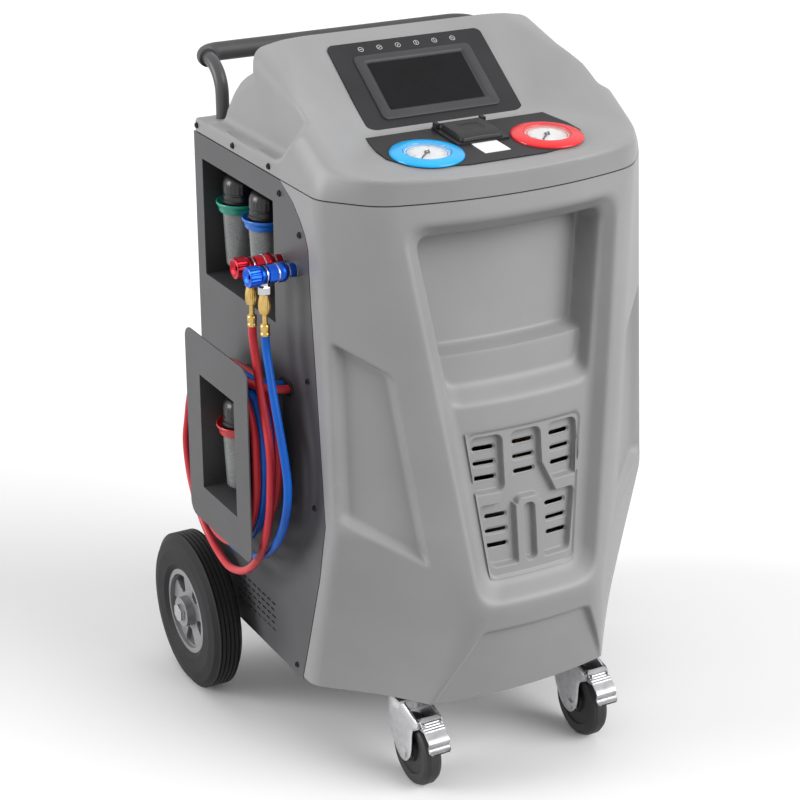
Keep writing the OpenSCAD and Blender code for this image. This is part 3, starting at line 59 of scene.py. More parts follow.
# Studio: a plain pale floor under soft light, white behind the object and in its reflections. The
# light is strongest overhead; a broad lamp stands at the right front, a strip lamp at the left rear.
def linear(code):
    """Linear colour of an sRGB hex code: each channel through the sRGB curve."""
    c = np.array([int(code[i:i + 2], 16) for i in (1, 3, 5)]) / 255
    return (*np.where(c <= 0.04045, c / 12.92, ((c + 0.055) / 1.055) ** 2.4).tolist(), 1.0)


def blank(owner):
    """Gives a world or a material an empty node tree."""
    owner.use_nodes = True
    owner.node_tree.nodes.clear()
    return owner


def add(owner, kind, inputs=(), **settings):
    """Adds one shader node with its settings; each input takes a value or another node's output."""
    made = owner.node_tree.nodes.new("ShaderNode" + kind)
    for key, value in settings.items():
        setattr(made, key, value)
    for key, value in dict(inputs).items():
        if isinstance(value, bpy.types.NodeSocket):
            owner.node_tree.links.new(value, made.inputs[key])
        else:
            made.inputs[key].default_value = value
    return made


world = blank(bpy.data.worlds.new("studio"))
scene.world = world
ray = add(world, "LightPath").outputs
seen = add(world, "Math", {0: ray["Is Camera Ray"], 1: ray["Is Glossy Ray"]}, operation="ADD")
seen = add(world, "Math", {0: seen.outputs[0], 1: ray["Is Transmission Ray"]}, operation="ADD")
height = add(world, "SeparateXYZ", {0: add(world, "TexCoord").outputs["Generated"]}).outputs["Z"]
dome = add(world, "MapRange", {"Value": height, "From Max": 0.9, "To Min": 0.1, "To Max": 0.9})
level = add(world, "Mix", {0: seen.outputs[0], 2: dome.outputs[0], 3: 1.0})
sky = add(world, "Background", {"Color": (1, 1, 1, 1), "Strength": level.outputs[0]})
add(world, "OutputWorld", {"Surface": sky.outputs[0]})

for name, place, spread, power in (("key", (1.5, -2.1, 1.9), 45.0, 2.4),
                                   ("strip", (-3.0, 1.1, 1.4), 30.0, 2.0)):
    lamp = bpy.data.objects.new(name, bpy.data.lights.new(name, "SUN"))
    lamp.data.angle = np.radians(spread)
    lamp.data.energy = power
    lamp.location = place
    aim(lamp, (0.0, 0.0, 0.55))
    scene.collection.objects.link(lamp)

floor_paint = blank(bpy.data.materials.new("floor_paint"))
bounce = add(floor_paint, "LightPath").outputs["Is Diffuse Ray"]
pale = add(floor_paint, "Mix", {0: bounce, 6: linear("#FAFAFA"), 7: linear("#8A8A8A")},
           data_type="RGBA")
paint = add(floor_paint, "BsdfDiffuse", {"Color": pale.outputs[2]})
add(floor_paint, "OutputMaterial", {"Surface": paint.outputs[0]})
ground = bpy.data.meshes.new("floor")
ground.from_pydata([(-9, -9, 0), (9, -9, 0), (9, 9, 0), (-9, 9, 0)], [], [(0, 1, 2, 3)])
ground.materials.append(floor_paint)
floor = bpy.data.objects.new("floor", ground)
scene.collection.objects.link(floor)


# Service hoses: two 12 mm rubber hoses, red for the high side and blue for the low side. Each
# leaves the panel's grommet, lies in three turns on the hanger's sleeve and runs up to its coupler.
def run_along(points):
    """Distance of each point from the first one, measured along the line through them."""
    return np.concatenate([[0], np.cumsum(np.linalg.norm(np.diff(points, axis=0), axis=1))])


def natural_spline(points, step):
    """Natural cubic spline through the points by chord length, with a point about every step mm."""
    points = np.asarray(points, float)
    t = run_along(points)
    h = np.diff(t)[:, None]
    slope = np.diff(points, axis=0) / h
    system = np.eye(len(t))
    inner = np.arange(1, len(t) - 1)
    system[inner, inner - 1] = h[:-1, 0]
    system[inner, inner] = 2 * (h[:-1, 0] + h[1:, 0])
    system[inner, inner + 1] = h[1:, 0]
    bend = np.linalg.solve(system, np.vstack([np.zeros(3), 6 * np.diff(slope, axis=0), np.zeros(3)]))
    at = np.linspace(0, t[-1], int(t[-1] / step) + 1)
    i = np.clip(np.searchsorted(t, at, side="right") - 1, 0, len(h) - 1)
    a, b = (t[i + 1] - at)[:, None], (at - t[i])[:, None]
    cubic = (bend[i] * a ** 3 + bend[i + 1] * b ** 3) / (6 * h[i])
    return cubic + (points[i] / h[i] - bend[i] * h[i] / 6) * a + (
        points[i + 1] / h[i] - bend[i + 1] * h[i] / 6) * b


def tube(path, radius, sides=16):
    """Round section swept along a path: rings square to it, turned from one fixed direction."""
    path = np.asarray(path, float)
    along = np.gradient(path, axis=0)
    along /= np.linalg.norm(along, axis=1, keepdims=True)
    side = np.cross(along, (1.0, 1.0, 1.0))
    side /= np.linalg.norm(side, axis=1, keepdims=True)
    up = np.cross(side, along)
    angle = np.linspace(0, 2 * np.pi, sides + 1)[None, :, None]
    return path[:, None] + radius * (np.cos(angle) * side[:, None] + np.sin(angle) * up[:, None])


def piece(name, grids, material, body="cabinet", keep=None, sharp=40.0):
    """One object of welded grids of points in mm; keep, for a single grid, marks the quads that stay.

    Quads join neighbouring points of each grid; edges that turn more than sharp degrees stay crisp."""
    grids = [grids] if isinstance(grids, np.ndarray) else grids
    points, quads, count = [], [], 0
    for grid in grids:
        index = count + np.arange(grid.shape[0] * grid.shape[1]).reshape(grid.shape[:2])
        quad = np.stack([index[:-1, :-1], index[:-1, 1:], index[1:, 1:], index[1:, :-1]], axis=-1)
        quads.append((quad if keep is None else quad[keep]).reshape(-1, 4))
        points.append(grid.reshape(-1, 3))
        count += index.size
    mesh = bpy.data.meshes.new(name)
    mesh.from_pydata((np.vstack(points) / 1000).tolist(), [], np.vstack(quads).tolist())
    work = bmesh.new()
    work.from_mesh(mesh)
    bmesh.ops.remove_doubles(work, verts=work.verts, dist=1e-5)
    bmesh.ops.dissolve_degenerate(work, edges=work.edges, dist=1e-7)
    bmesh.ops.delete(work, geom=[v for v in work.verts if not v.link_faces], context="VERTS")
    bmesh.ops.recalc_face_normals(work, faces=work.faces)
    work.to_mesh(mesh)
    work.free()
    mesh.shade_smooth()
    mesh.set_sharp_from_angle(angle=np.radians(sharp))
    mesh.materials.append(material)
    made = bpy.data.objects.new(name, mesh)
    scene.collection.objects.link(made)
    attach(made, body)
    return made


def surface(name, dark, pale, gloss, grain, relief, blotch, edge, **shader):
    """Finish with a tone between two colours by a broad noise and a roughness and bump by a fine one.

    blotch and grain are the sizes of the two patterns, relief the height of the bump and edge the
    rounding of sharp edges, all in mm; gloss is the lowest and highest roughness."""
    made = blank(bpy.data.materials.new(name))
    place = add(made, "TexCoord").outputs["Object"]
    broad = add(made, "TexNoise", {"Vector": place, "Scale": 1000 / blotch, "Detail": 4.0})
    fine = add(made, "TexNoise", {"Vector": place, "Scale": 1000 / grain, "Detail": 2.0})
    tone = add(made, "MapRange", {"Value": broad.outputs[0], "From Min": 0.3, "From Max": 0.7})
    colour = add(made, "Mix", {0: tone.outputs[0], 6: linear(dark), 7: linear(pale)}, data_type="RGBA")
    rough = add(made, "MapRange", {"Value": fine.outputs[0], "From Min": 0.3, "From Max": 0.7,
                                   "To Min": gloss[0], "To Max": gloss[1]})
    normal = add(made, "Bevel", {"Radius": edge / 1000}, samples=4).outputs[0]
    bump = add(made, "Bump", {"Height": fine.outputs[0], "Distance": relief / 1000, "Strength": 0.6,
                              "Normal": normal})
    skin = add(made, "BsdfPrincipled", {"Base Color": colour.outputs[2], "Roughness": rough.outputs[0],
                                        "Normal": bump.outputs[0]})
    for key, value in shader.items():
        skin.inputs[key.replace("_", " ").title().replace("Ior", "IOR")].default_value = value
    add(made, "OutputMaterial", {"Surface": skin.outputs[0]})
    return made


hose_r = 6.0
panel_x, grommet_z = -262, 588
hose_end_x, high_y, low_y = -308, -46, -88
top_y, foot_y, rear_z, front_z = 28, 60, 430, 478  # where a turn's top, foot, rear and front lie


def turns(stations):
    """Quarter turns through stations of (x, reach): top height, rear y, low height and front y in order.

    Seen from the side each quarter is a superellipse from one station to the next, and x moves evenly.
    The first quarter is squarer where it lies close on the sleeve."""
    route = []
    angle = np.radians((3, 12, 28, 45, 62, 78, 87))
    for i, ((x0, a), (x1, b)) in enumerate(zip(stations, stations[1:])):
        square = (3.4 if b < 160 else 2.2, 2.0, 2.0, 3.2)[i % 4]
        go, stay = np.sin(angle) ** (2 / square), np.cos(angle) ** (2 / square)
        y, z = ((top_y + (b - top_y) * go, rear_z + (a - rear_z) * stay),
                (foot_y + (a - foot_y) * stay, rear_z - (rear_z - b) * go),
                (foot_y - (foot_y - b) * go, front_z - (front_z - a) * stay),
                (top_y - (top_y - a) * stay, front_z + (b - front_z) * go))[i % 4]
        route.append(np.stack([x0 + (x1 - x0) * np.linspace(0.1, 0.9, len(angle)), y, z], axis=1))
    return np.vstack(route)


def tail(start, lane, top, inside=6, lead=22):
    """Hose from the panel: straight out, then a quarter turn to the rear onto the lane at height top.

    It starts a little inside the panel and ends with a straight lead along the lane, which is an x."""
    r = start[0] - lane
    angle, share = np.radians(np.linspace(0, 90, 6)), np.linspace(0, 1, 6)
    ease = share ** 2 * (3 - 2 * share)
    bend = np.stack([start[0] - r * np.sin(angle), start[1] + r - r * np.cos(angle),
                     start[2] + (top - start[2]) * ease], axis=1)
    return np.vstack([[start[0] + inside, start[1], start[2]], bend, [lane, start[1] + r + lead, top]])


red_rubber = surface("red_hose_rubber", "#C4262E", "#D63842", gloss=(0.3, 0.42), grain=0.6, relief=0.02,
                     blotch=45, edge=0.0, specular_ior_level=0.35)
blue_rubber = surface("blue_hose_rubber", "#0050B0", "#0064CC", gloss=(0.3, 0.42), grain=0.6,
                      relief=0.02, blotch=45, edge=0.0, specular_ior_level=0.35)
red_route = np.vstack([
    tail((panel_x, -61, grommet_z), -322, 602),
    turns([(-322, 602), (-321, 150), (-321, 320), (-322, -76),
           (-322, 590), (-304, 122), (-286, 338), (-286, -72),
           (-286, 590), (-300, 222), (-314, 272), (-314, -106)]),
    [(-312, -103, 505), (-310, -87, 552), (-309, -68, 600), (hose_end_x, -54, 640),
     (hose_end_x, high_y, 676), (hose_end_x, high_y, 694)]])
blue_route = np.vstack([
    tail((panel_x, -43, grommet_z), -310, 602),
    turns([(-310, 602), (-307, 150), (-309, 320), (-310, -76),
           (-310, 590), (-303, 136), (-298, 328), (-298, -72),
           (-298, 590), (-298, 178), (-301, 300), (-301, -134)]),
    [(-303, -132, 505), (-306, -122, 556), (hose_end_x, -109, 604), (hose_end_x, -96, 644),
     (hose_end_x, low_y, 678), (hose_end_x, low_y, 694)]])
for name, route, rubber, slot, nodes in (
        ("high_side_hose", red_route, red_rubber, "red_hose", ("high_hose", "hose_coil")),
        ("low_side_hose", blue_route, blue_rubber, "blue_hose", ("low_hose",))):
    line = natural_spline(route, 4.0)
    hose = piece(name, tube(line, hose_r), rubber)
    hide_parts(*nodes)


# Front shell: one large moulding in fine-textured grey plastic, screwed to the chassis behind its
# edges. Bowed front, slanted facets, a deep central recess with the storage pocket, sunk flanks.
def smooth_max(a, b, r):
    """The larger of two fields, rounded over about r where they cross."""
    h = np.clip(0.5 + 0.5 * (a - b) / r, 0, 1)
    return b + (a - b) * h + r * h * (1 - h)


def profile(at, line, soft):
    """Straight lines through (place, value) pairs with each kink rounded: the mean over twice soft."""
    places, values = np.transpose(line)
    return np.mean([np.interp(at + s, places, values) for s in np.linspace(-soft, soft, 7)], axis=0)


def trapezoid(x, z, top, low, corner, spread=(0.0, 0.0, 0.0)):
    """Distance outside a symmetric trapezoid of (half width, height) corners.

    spread draws in its sides, top and foot."""
    slope = (top[0] - low[0]) / (top[1] - low[1])
    side = (np.abs(x) - low[0] - slope * (z - low[1])) / np.hypot(1, slope) + spread[0]
    return smooth_max(smooth_max(side, z - top[1] + spread[1], corner), low[1] - z + spread[2], corner)


half_width, bow = 259.0, 1 / 1282
foot_z, seam_z = 135, 888
recess_depth = 24
flank_turn, flank_y = np.radians(46), -171.6
pad_shape = ((93, 559), (68, 347), 13)
# Pairs of height and the front's y, the front edge's half width, and the y of the crease behind it
front_line = ((35, -270.3), (foot_z, -292), (310, -330), (seam_z, -251), (988, -237.3))
edge_line = ((35, 163), (foot_z, 141), (310, 103), (414, 122), (seam_z, 202), (988, 219))
crease_line = ((35, -88), (foot_z, -115), (414, -191), (seam_z, -152), (988, -143.8))
# Pairs of height and the pocket's depth, the half width that rays start from, and the rear edge's y
pocket_line = ((600, 46), (666, 46), (673, 69), (900, 69))
spine_line = ((35, 190), (foot_z, 150), (272, 102), (318, 101), (860, 175), (960, 188))
rear_line = ((130, -83.5), (208, -109), (323, -145), (415, -165), (544, -152), (630, -143), (743, -130),
             (812, -125), (830, -117), (848, -102), (868, -80), (seam_z, -41))
# Corners of the flank recess as distance along the facet, height and draft of the edge that follows
flank_corners = ((6, 694, 0.3), (96, 652, 0.95), (150, 374, 0.55), (17, 436, 0.95))


def front_face(x, z):
    """Bowed front: a line that leans out to the nose and back to the foot, plus a parabola across."""
    return profile(z, front_line, 12) + bow * x * x


def front_field(x, y, z):
    """Distance outside the front moulding: smooth largest of its faces, with its recesses taken out."""
    side = np.abs(x)
    depth = y - front_face(x, z)
    edge_x, crease = profile(z, edge_line, 10), profile(z, crease_line, 9)
    edge_y = front_face(edge_x, z)
    run, rise = half_width - edge_x, crease - edge_y
    facet = ((side - edge_x) * rise - (y - edge_y) * run) / np.hypot(run, rise)
    field = smooth_max(smooth_max(-depth, facet, 14), side - half_width, 9)
    # Central recess with walls at about 45 degrees
    rim = trapezoid(x, z, (171, 860), (97, 318), 34)
    space = smooth_max((rim + 0.9 * depth) / 1.35, depth - recess_depth, 8)
    field = smooth_max(field, -space, 5)
    # Storage pocket with steep sides, a slanted foot and a step across its back wall
    below = np.maximum(depth - recess_depth, -12)
    rim = trapezoid(x, z, (146, 838), (110, 600), 20, (0.14 * below, 0.2 * below, 0.9 * below))
    space = smooth_max(rim, depth - profile(z, pocket_line, 1.8), 6)
    field = smooth_max(field, -space, 5)
    # Sunk centre panel under the recess
    rim = trapezoid(x, z, (89, 273), (192, 70), 9)
    space = smooth_max((rim + 0.6 * depth) / 1.17, depth - 10, 4)
    field = smooth_max(field, -space, 3)
    # Flank recess on each facet, its lower edge drawn out to a broad bevel
    along = (half_width - side) * np.cos(flank_turn) - (y - flank_y) * np.sin(flank_turn)
    sunk = -facet
    rim = np.full_like(field, -1e3)
    for (a0, z0, draft), (a1, z1, _) in zip(flank_corners, flank_corners[1:] + flank_corners[:1]):
        size = np.hypot(a1 - a0, z1 - z0)
        rim = smooth_max(rim, ((along - a0) * (z0 - z1) + (z - z0) * (a1 - a0)) / size + draft * sunk, 9)
    space = smooth_max(rim, sunk - 13, 5)
    return smooth_max(field, -space, 3.5)


def cast(field, origin, way, reach):
    """Points where rays from origin along way leave a solid, by halving between inside and reach."""
    low, high = np.zeros(origin.shape[:-1]), np.full(origin.shape[:-1], reach)
    for _ in range(26):
        middle = (low + high) / 2
        inside = field(*np.moveaxis(origin + middle[..., None] * way, -1, 0)) < 0
        low, high = np.where(inside, middle, low), np.where(inside, high, middle)
    return origin + low[..., None] * way


def fan(count, start, rays=400):
    """Angles from straight ahead to sideways that space the outline's points evenly around a start."""
    angle = np.linspace(0, np.pi / 2, rays)
    way = np.stack([np.sin(angle), -np.cos(angle), np.zeros(rays)], axis=-1)
    run = run_along(cast(front_field, np.broadcast_to(start, (rays, 3)), way, 500.0))
    return np.interp(np.linspace(0, run[-1], count + 1), run, angle)


def all_corners(mask):
    """Quads of a grid whose four corners all lie in the mask."""
    return mask[:-1, :-1] & mask[1:, :-1] & mask[:-1, 1:] & mask[1:, 1:]


rows, across, turned = 268, 156, 94
bend = fan(turned, (134.0, -151.0, 560.0))
angle = np.concatenate([-bend[:0:-1], np.zeros(across + 1), bend[1:]])
share = np.concatenate([-np.ones(turned), np.linspace(-1, 1, across + 1), np.ones(turned)])
foot = foot_z + 15 * np.cos(angle) ** 2
z = foot + (seam_z - foot) * np.linspace(0, 1, rows + 1)[:, None]
start_y = np.interp(z, *np.transpose(rear_line)) - 1.0
origin = np.stack([share * profile(z, spine_line, 12), start_y, z], axis=-1)
way = np.broadcast_to(np.stack([np.sin(angle), -np.cos(angle), 0 * angle], axis=-1), origin.shape)
skin = cast(front_field, origin, way, 500.0)
pad = trapezoid(skin[..., 0], skin[..., 2], *pad_shape)
keep = ~all_corners((np.abs(angle) < 1e-9) & (pad < -1.0))
ends_in, sides_in = np.array([0.985, 0.985, 1.0]), np.array([0.97, 1.0, 1.0])
lip = np.concatenate([skin[:1] * ends_in + (0, 0, 0.2), skin, skin[-1:] * ends_in])
lip = np.concatenate([lip[:, :1] * sides_in, lip, lip[:, -1:] * sides_in], axis=1)
grey_plastic = surface("grey_moulded_plastic", "#949495", "#9C9C9D", gloss=(0.4, 0.52), grain=0.55,
                       relief=0.035, blotch=160, edge=0.3, specular_ior_level=0.5)
shell = piece("front_moulding", lip, grey_plastic,
              keep=np.pad(keep, 1, constant_values=True))
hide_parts("front_shell")


# Grille: the lower part of the recess floor, moulded with the shell. A raised pad with three sunk
# panels above and two below, round-ended slots through them, and a closed bar in the middle.
def box(x, z, low, high, corner):
    """Distance outside an upright rectangle from low to high, both (x, z), with round corners."""
    a = np.abs(x - (low[0] + high[0]) / 2) - (high[0] - low[0]) / 2 + corner
    b = np.abs(z - (low[1] + high[1]) / 2) - (high[1] - low[1]) / 2 + corner
    return np.hypot(np.maximum(a, 0), np.maximum(b, 0)) + np.minimum(np.maximum(a, b), 0) - corner


def step_down(distance, depth, soft):
    """Height of a step that falls by depth where the distance turns negative, eased over twice soft."""
    t = np.clip(0.5 - 0.5 * distance / soft, 0, 1)
    return -depth * t * t * (3 - 2 * t)


columns, low_column = (-62, 0, 62), 49
upper_rows, lower_rows = (489, 510.5, 532), (389, 410.5, 432)
slot_x, slot_z, slot_wall = 18, 4.5, 2.5
z = np.linspace(345, 561, 217)[:, None]
x = np.linspace(-1, 1, 197)[None, :] * (94.5 + (z - 559) * 0.118)
z = np.broadcast_to(z, x.shape)
panels = np.minimum.reduce([box(x, z, (c - 23.5, 471), (c + 23.5, 551), 9) for c in columns])
link = trapezoid(x, z, (23, 500), (48, 447), 4)
low_panels = smooth_max(trapezoid(x, z, (77, 452), (63, 362), 9), 22.5 - np.abs(x), 4)
bar = box(x, z, (-19, 340), (19, 455), 9)
sunk = np.minimum(panels, smooth_max(np.minimum(low_panels, link), -bar, 2))
groove = np.minimum(sunk, box(x, z, (-8.4, 362), (8.4, 444), 7))
places = [(x - c, h) for c in columns for h in upper_rows]
places += [(np.abs(x) - low_column, h) for h in lower_rows]
slots = np.minimum.reduce([box(off, z, (-slot_x, h - slot_z), (slot_x, h + slot_z), 4.4)
                           for off, h in places])
rise = step_down(-trapezoid(x, z, *pad_shape), -3.0, 2.0) + step_down(groove, 10.0, 1.8)
y = front_face(x, z) + recess_depth - rise + slot_wall * np.clip(-slots / 0.9 + 0.3, 0, 1)
piece("vent_grille", np.stack([x, y, z], axis=-1), grey_plastic,
      keep=~all_corners(slots <= -1.3), sharp=50)


# Console: a grey moulded head screwed on top of the cabinet. A dish holds the sloped display and the
# gauge shelf between two cheeks, under a crowned hood with stepped shoulders and a rear ledge.
def laid(points, face):
    """Points drawn flat as (across, up, out), laid on a face (place, slope) that rises to the rear."""
    at, turn = face
    p = np.asarray(points, float)
    return np.stack([at[0] + p[..., 0], at[1] + p[..., 1] * np.cos(turn) - p[..., 2] * np.sin(turn),
                     at[2] + p[..., 1] * np.sin(turn) + p[..., 2] * np.cos(turn)], axis=-1)


def above(y, z, face):
    """Height over a sloped face."""
    at, turn = face
    return (z - at[2]) * np.cos(turn) - (y - at[1]) * np.sin(turn)


def smooth_min(a, b, r):
    """The smaller of two fields, rounded over about r where they cross."""
    return -smooth_max(-a, -b, r)


display = (0, 14, 986.8), np.radians(35.5)
shelf = (0, -51, 941.0), np.radians(4.86)
overlay_sunk, ledge_z = 2, 912


def head_field(x, y, z):
    """Distance outside the console: plan, crown and rear steps, with dish and hood's sides taken out."""
    side = np.abs(x)
    facet = ((side - 202) * 67.2 - (y + 219.2) * 57) / 88.1
    front = smooth_max(-251 + bow * x * x - y, facet, 16)
    plan = smooth_max(front, smooth_max(side - half_width, y - 248, 10), 9)
    crown = (z - 1032 - 0.28 * y + 22 * (x / 215) ** 2) / 1.05
    # The hood's back falls over three planes to the rear ledge
    hood = smooth_max((y - 106) * 0.316 + (z - 1004) * 0.949, (y - 130) * 0.572 + (z - 996) * 0.82, 8)
    hood = smooth_max(hood, (y - 163) * 0.88 + (z - 973) * 0.476, 9)
    rear = smooth_min((y - 106) + (z - 1004) * 0.055, hood, 3.5)
    rear = smooth_min(rear, z - ledge_z + (y - 196) * 0.058, 7)
    field = smooth_max(smooth_max(plan, crown, 7), rear, 5)
    # Dish of display slope, gauge shelf and cheeks
    cheek = (z - 900.4 - 0.4998 * side - 0.5077 * y) / 1.228
    dish = smooth_min(above(y, z, display) + overlay_sunk, above(y, z, shelf) + overlay_sunk, 7)
    field = smooth_max(field, smooth_min(dish, cheek, 10), 5)
    # Shoulders beside the hood, and front corners that fall away
    flank = smooth_min(side - 234, z - ledge_z, 12)
    flank = smooth_min(flank, ((y + 36) + 0.933 * (z - ledge_z)) / 1.368, 20)
    edge = 8 + 16 * np.clip((y + 40) / 60, 0, 1) * np.clip((z - 930) / 40, 0, 1)
    corner = ((z - 950) - 0.62 * (y + 80) - 1.5 * (half_width - side)) / 1.91
    return smooth_max(smooth_max(field, corner, 16), flank, edge)


# Rays leave a flat square inside the console: upwards within half its size, and fanned out beyond
u, v = np.meshgrid(np.linspace(-1, 1, 289), np.linspace(-1, 1, 265))
ring = np.maximum(np.maximum(np.abs(u), np.abs(v)), 1e-9)
tip = np.clip((ring - 0.5) / 0.5, 0, 1) * np.pi / 2
reach = np.minimum(ring, 0.5) / 0.5 / ring
origin = np.stack([u * reach * 134, -6 + v * reach * 124, np.full(ring.shape, 890.0)], axis=-1)
out = np.stack([u * 1.05, v], axis=-1)
out /= np.linalg.norm(out, axis=-1, keepdims=True) + 1e-12
way = np.concatenate([out * np.sin(tip)[..., None], np.cos(tip)[..., None]], axis=-1)
skin = cast(head_field, origin, way, 460.0)
at, turn = shelf
up_shelf = (skin[..., 1] - at[1]) * np.cos(turn) + (skin[..., 2] - at[2]) * np.sin(turn)
in_printer = (np.abs(skin[..., 0]) < 37) & (up_shelf > -92) & (up_shelf < -30)
console = piece("console_moulding", skin, grey_plastic,
                keep=~all_corners(in_printer), sharp=32)
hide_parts("head_shell")
# A black band just inside the console's lower rim: painted shade that stands in for the shadow in the
# gap between console and shell.
rim = np.concatenate([skin[0], skin[1:, -1], skin[-1, -2::-1], skin[-2::-1, 0]])
middle = np.array([0, -1.5, 0])
inset = (rim - middle) * (0.994, 0.994, 1) + middle
black_plastic = surface("black_plastic", "#1D1D1F", "#242426", gloss=(0.38, 0.5), grain=0.5, relief=0.02,
                        blotch=60, edge=0.4, specular_ior_level=0.35)
piece("console_gap_painted_shade", np.stack([rim, inset, inset - (0, 0, 2.4)]), black_plastic)


# Sheet metal: side and rear panels, hose hanger, bottle niche and chassis are folded steel with a
# satin dark grey powder coat, which shows a fine orange peel.
def dress(material, *nodes):
    """Gives CAD parts a finish by their objects' material slots."""
    for name in nodes:
        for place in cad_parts[name].material_slots:
            place.material = material


powder_coat = surface("dark_powder_coat", "#4C4C4E", "#545456", gloss=(0.4, 0.5), grain=1.6, relief=0.05,
                      blotch=120, edge=0.6, specular_ior_level=0.4)
# A darker copy of the same coat on the bottle niche and the chassis: painted shade for these sunk and
# inner parts.
shaded_coat = surface("niche_powder_coat_painted_shade", "#3A3A3C", "#424244", gloss=(0.42, 0.52), grain=1.6,
                    relief=0.05, blotch=120, edge=0.6)
dress(powder_coat, "left_side_panel", "right_side_panel", "rear_panel", "hose_hanger")
dress(shaded_coat, "bottle_niche", "chassis")


# Display: a printed overlay stuck in the dish, a moulded frame whose inner edge slopes down to the
# glass of a touch screen, and six small round marks printed along the top of the overlay.
def spokes(angle):
    """Unit ways in a plane at the angles."""
    return np.stack([np.cos(angle), np.sin(angle)], axis=-1)


def rounded_outline(half_x, half_y, corner, steps=8):
    """Rectangle with round corners about the origin, as points (x, y) in order, closed."""
    angle = np.radians(np.linspace(0, 90, steps))[None, :] + np.radians((0, 90, 180, 270))[:, None]
    way = np.array([(1, 1), (-1, 1), (-1, -1), (1, -1)])[:, None, :] * (half_x - corner, half_y - corner)
    points = (way + corner * spokes(angle)).reshape(-1, 2)
    return np.vstack([points, points[:1]])


def lifted(flat, height):
    """Flat points (across, up) with their height over the face added."""
    return np.concatenate([flat, np.broadcast_to(height, flat.shape[:2])[..., None]], axis=-1)


overlay_print = surface("overlay_print", "#28282A", "#2E2E30", gloss=(0.45, 0.55), grain=0.4,
                        relief=0.008, blotch=80, edge=0.4, specular_ior_level=0.25)
frame_plastic = surface("frame_plastic", "#38383A", "#404042", gloss=(0.42, 0.52), grain=0.4,
                        relief=0.012, blotch=60, edge=0.6, specular_ior_level=0.35)
screen_glass = surface("screen_glass", "#141416", "#1A1A1C", gloss=(0.22, 0.3), grain=3.0,
                       relief=0.002, blotch=40, edge=0.3, specular_ior_level=0.12)
pale_print = surface("pale_print", "#B4B4B4", "#C2C2C2", gloss=(0.5, 0.6), grain=0.3, relief=0.004,
                     blotch=10, edge=0.0)
dress(overlay_print, "display_overlay", "gauge_overlay")
dress(screen_glass, "touch_screen")
rim = rounded_outline(95, 59, 8) + (0, -6)
hole = rounded_outline(77, 43, 2) + (0, -4)
# Section of the frame as share of the way from its rim to its hole, and height
section = [(0, -2), (0, 1.3), (0.02, 2.1), (0.07, 2.5), (0.7, 2.5), (0.76, 2.2), (1, -0.4), (1, -1.4)]
share, height = np.transpose(section)[:, :, None]
loft = rim + share[..., None] * (hole - rim)
bezel = piece("screen_frame", laid(lifted(loft, height), display), frame_plastic,
              sharp=60)
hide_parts("display_frame")
print_height = 0.12
circle = np.array([3.4, 4.4])[:, None, None] * spokes(np.linspace(0, 2 * np.pi, 25))
bar = np.array([[(-2.4, -0.6), (-2.4, 0.6)], [(2.4, -0.6), (2.4, 0.6)]])
marks = []
for i in range(6):
    middle, lean = (-75 + 30 * i, 66), np.radians(30 * i)
    leant = bar @ [[np.cos(lean), np.sin(lean)], [-np.sin(lean), np.cos(lean)]]
    marks += [laid(lifted(flat + middle, print_height), display) for flat in (circle, leant)]
piece("overlay_marks", marks, pale_print)


# Gauges: white printed dials in cans under the shelf, clear lenses, and glossy moulded rings pressed
# over them, cyan for the low side and red for the high side. The scale is printed on the dial.
def lathe(outline, at, axis, sides=64, flutes=0, depth=0.0, span=(0.0, 0.0)):
    """Outline of (radius, distance) turned about an axis from a point; flutes wave it within a span."""
    outline, axis = np.asarray(outline, float), np.asarray(axis, float)
    side = np.cross(axis, (0.0, 1.0, 0.0) if abs(axis[1]) < 0.9 else (1.0, 0.0, 0.0))
    side /= np.linalg.norm(side)
    up = np.cross(axis, side)
    angle = np.linspace(0, 2 * np.pi, sides + 1)[None, :, None]
    radius, along = outline[:, None, :1], outline[:, None, 1:]
    cut = depth * (0.5 - 0.5 * np.cos(flutes * angle)) * ((along > span[0]) & (along < span[1]))
    way = np.cos(angle) * side + np.sin(angle) * up
    return np.asarray(at, float) + along * axis + np.maximum(radius - cut, 0) * way


dial_print = surface("dial_print", "#EDEDED", "#F6F6F4", gloss=(0.45, 0.55), grain=0.4, relief=0.004,
                     blotch=30, edge=0.3)
cyan_ring = surface("cyan_ring_plastic", "#0AA6EE", "#12B4FA", gloss=(0.16, 0.24), grain=0.8,
                    relief=0.004, blotch=40, edge=0.5)
red_ring = surface("red_ring_plastic", "#E41820", "#F2242C", gloss=(0.16, 0.24), grain=0.8,
                   relief=0.004, blotch=40, edge=0.5)
clear_lens = surface("clear_lens", "#FFFFFF", "#FAFCFC", gloss=(0.02, 0.05), grain=2.0, relief=0.001,
                     blotch=40, edge=0.2, transmission_weight=1.0, ior=1.2)
black_steel = surface("black_steel", "#0E0E10", "#161618", gloss=(0.45, 0.6), grain=0.5, relief=0.01,
                      blotch=20, edge=0.3, specular_ior_level=0.25)
black_print = surface("black_print", "#1A1A1A", "#262626", gloss=(0.5, 0.6), grain=0.3, relief=0.004,
                      blotch=10, edge=0.0)
dress(dial_print, "gauge_cases")
dress(clear_lens, "gauge_lenses")
dress(black_steel, "low_gauge_pointer", "high_gauge_pointer", "cover_screws")
gauge_x, gauge_up = 95.5, -109.5
out_of_shelf = laid((0, 0, 1), ((0, 0, 0), shelf[1]))
ring_outline = [(31.4, 0.1), (31.4, 1.8), (32.6, 4.4), (33.4, 5.5), (34.6, 6.1), (36.4, 6.1), (43, 5.0),
                (48.6, 3.7), (50.6, 2.9), (51.5, 1.7), (51.5, 0.1), (31.4, 0.1)]
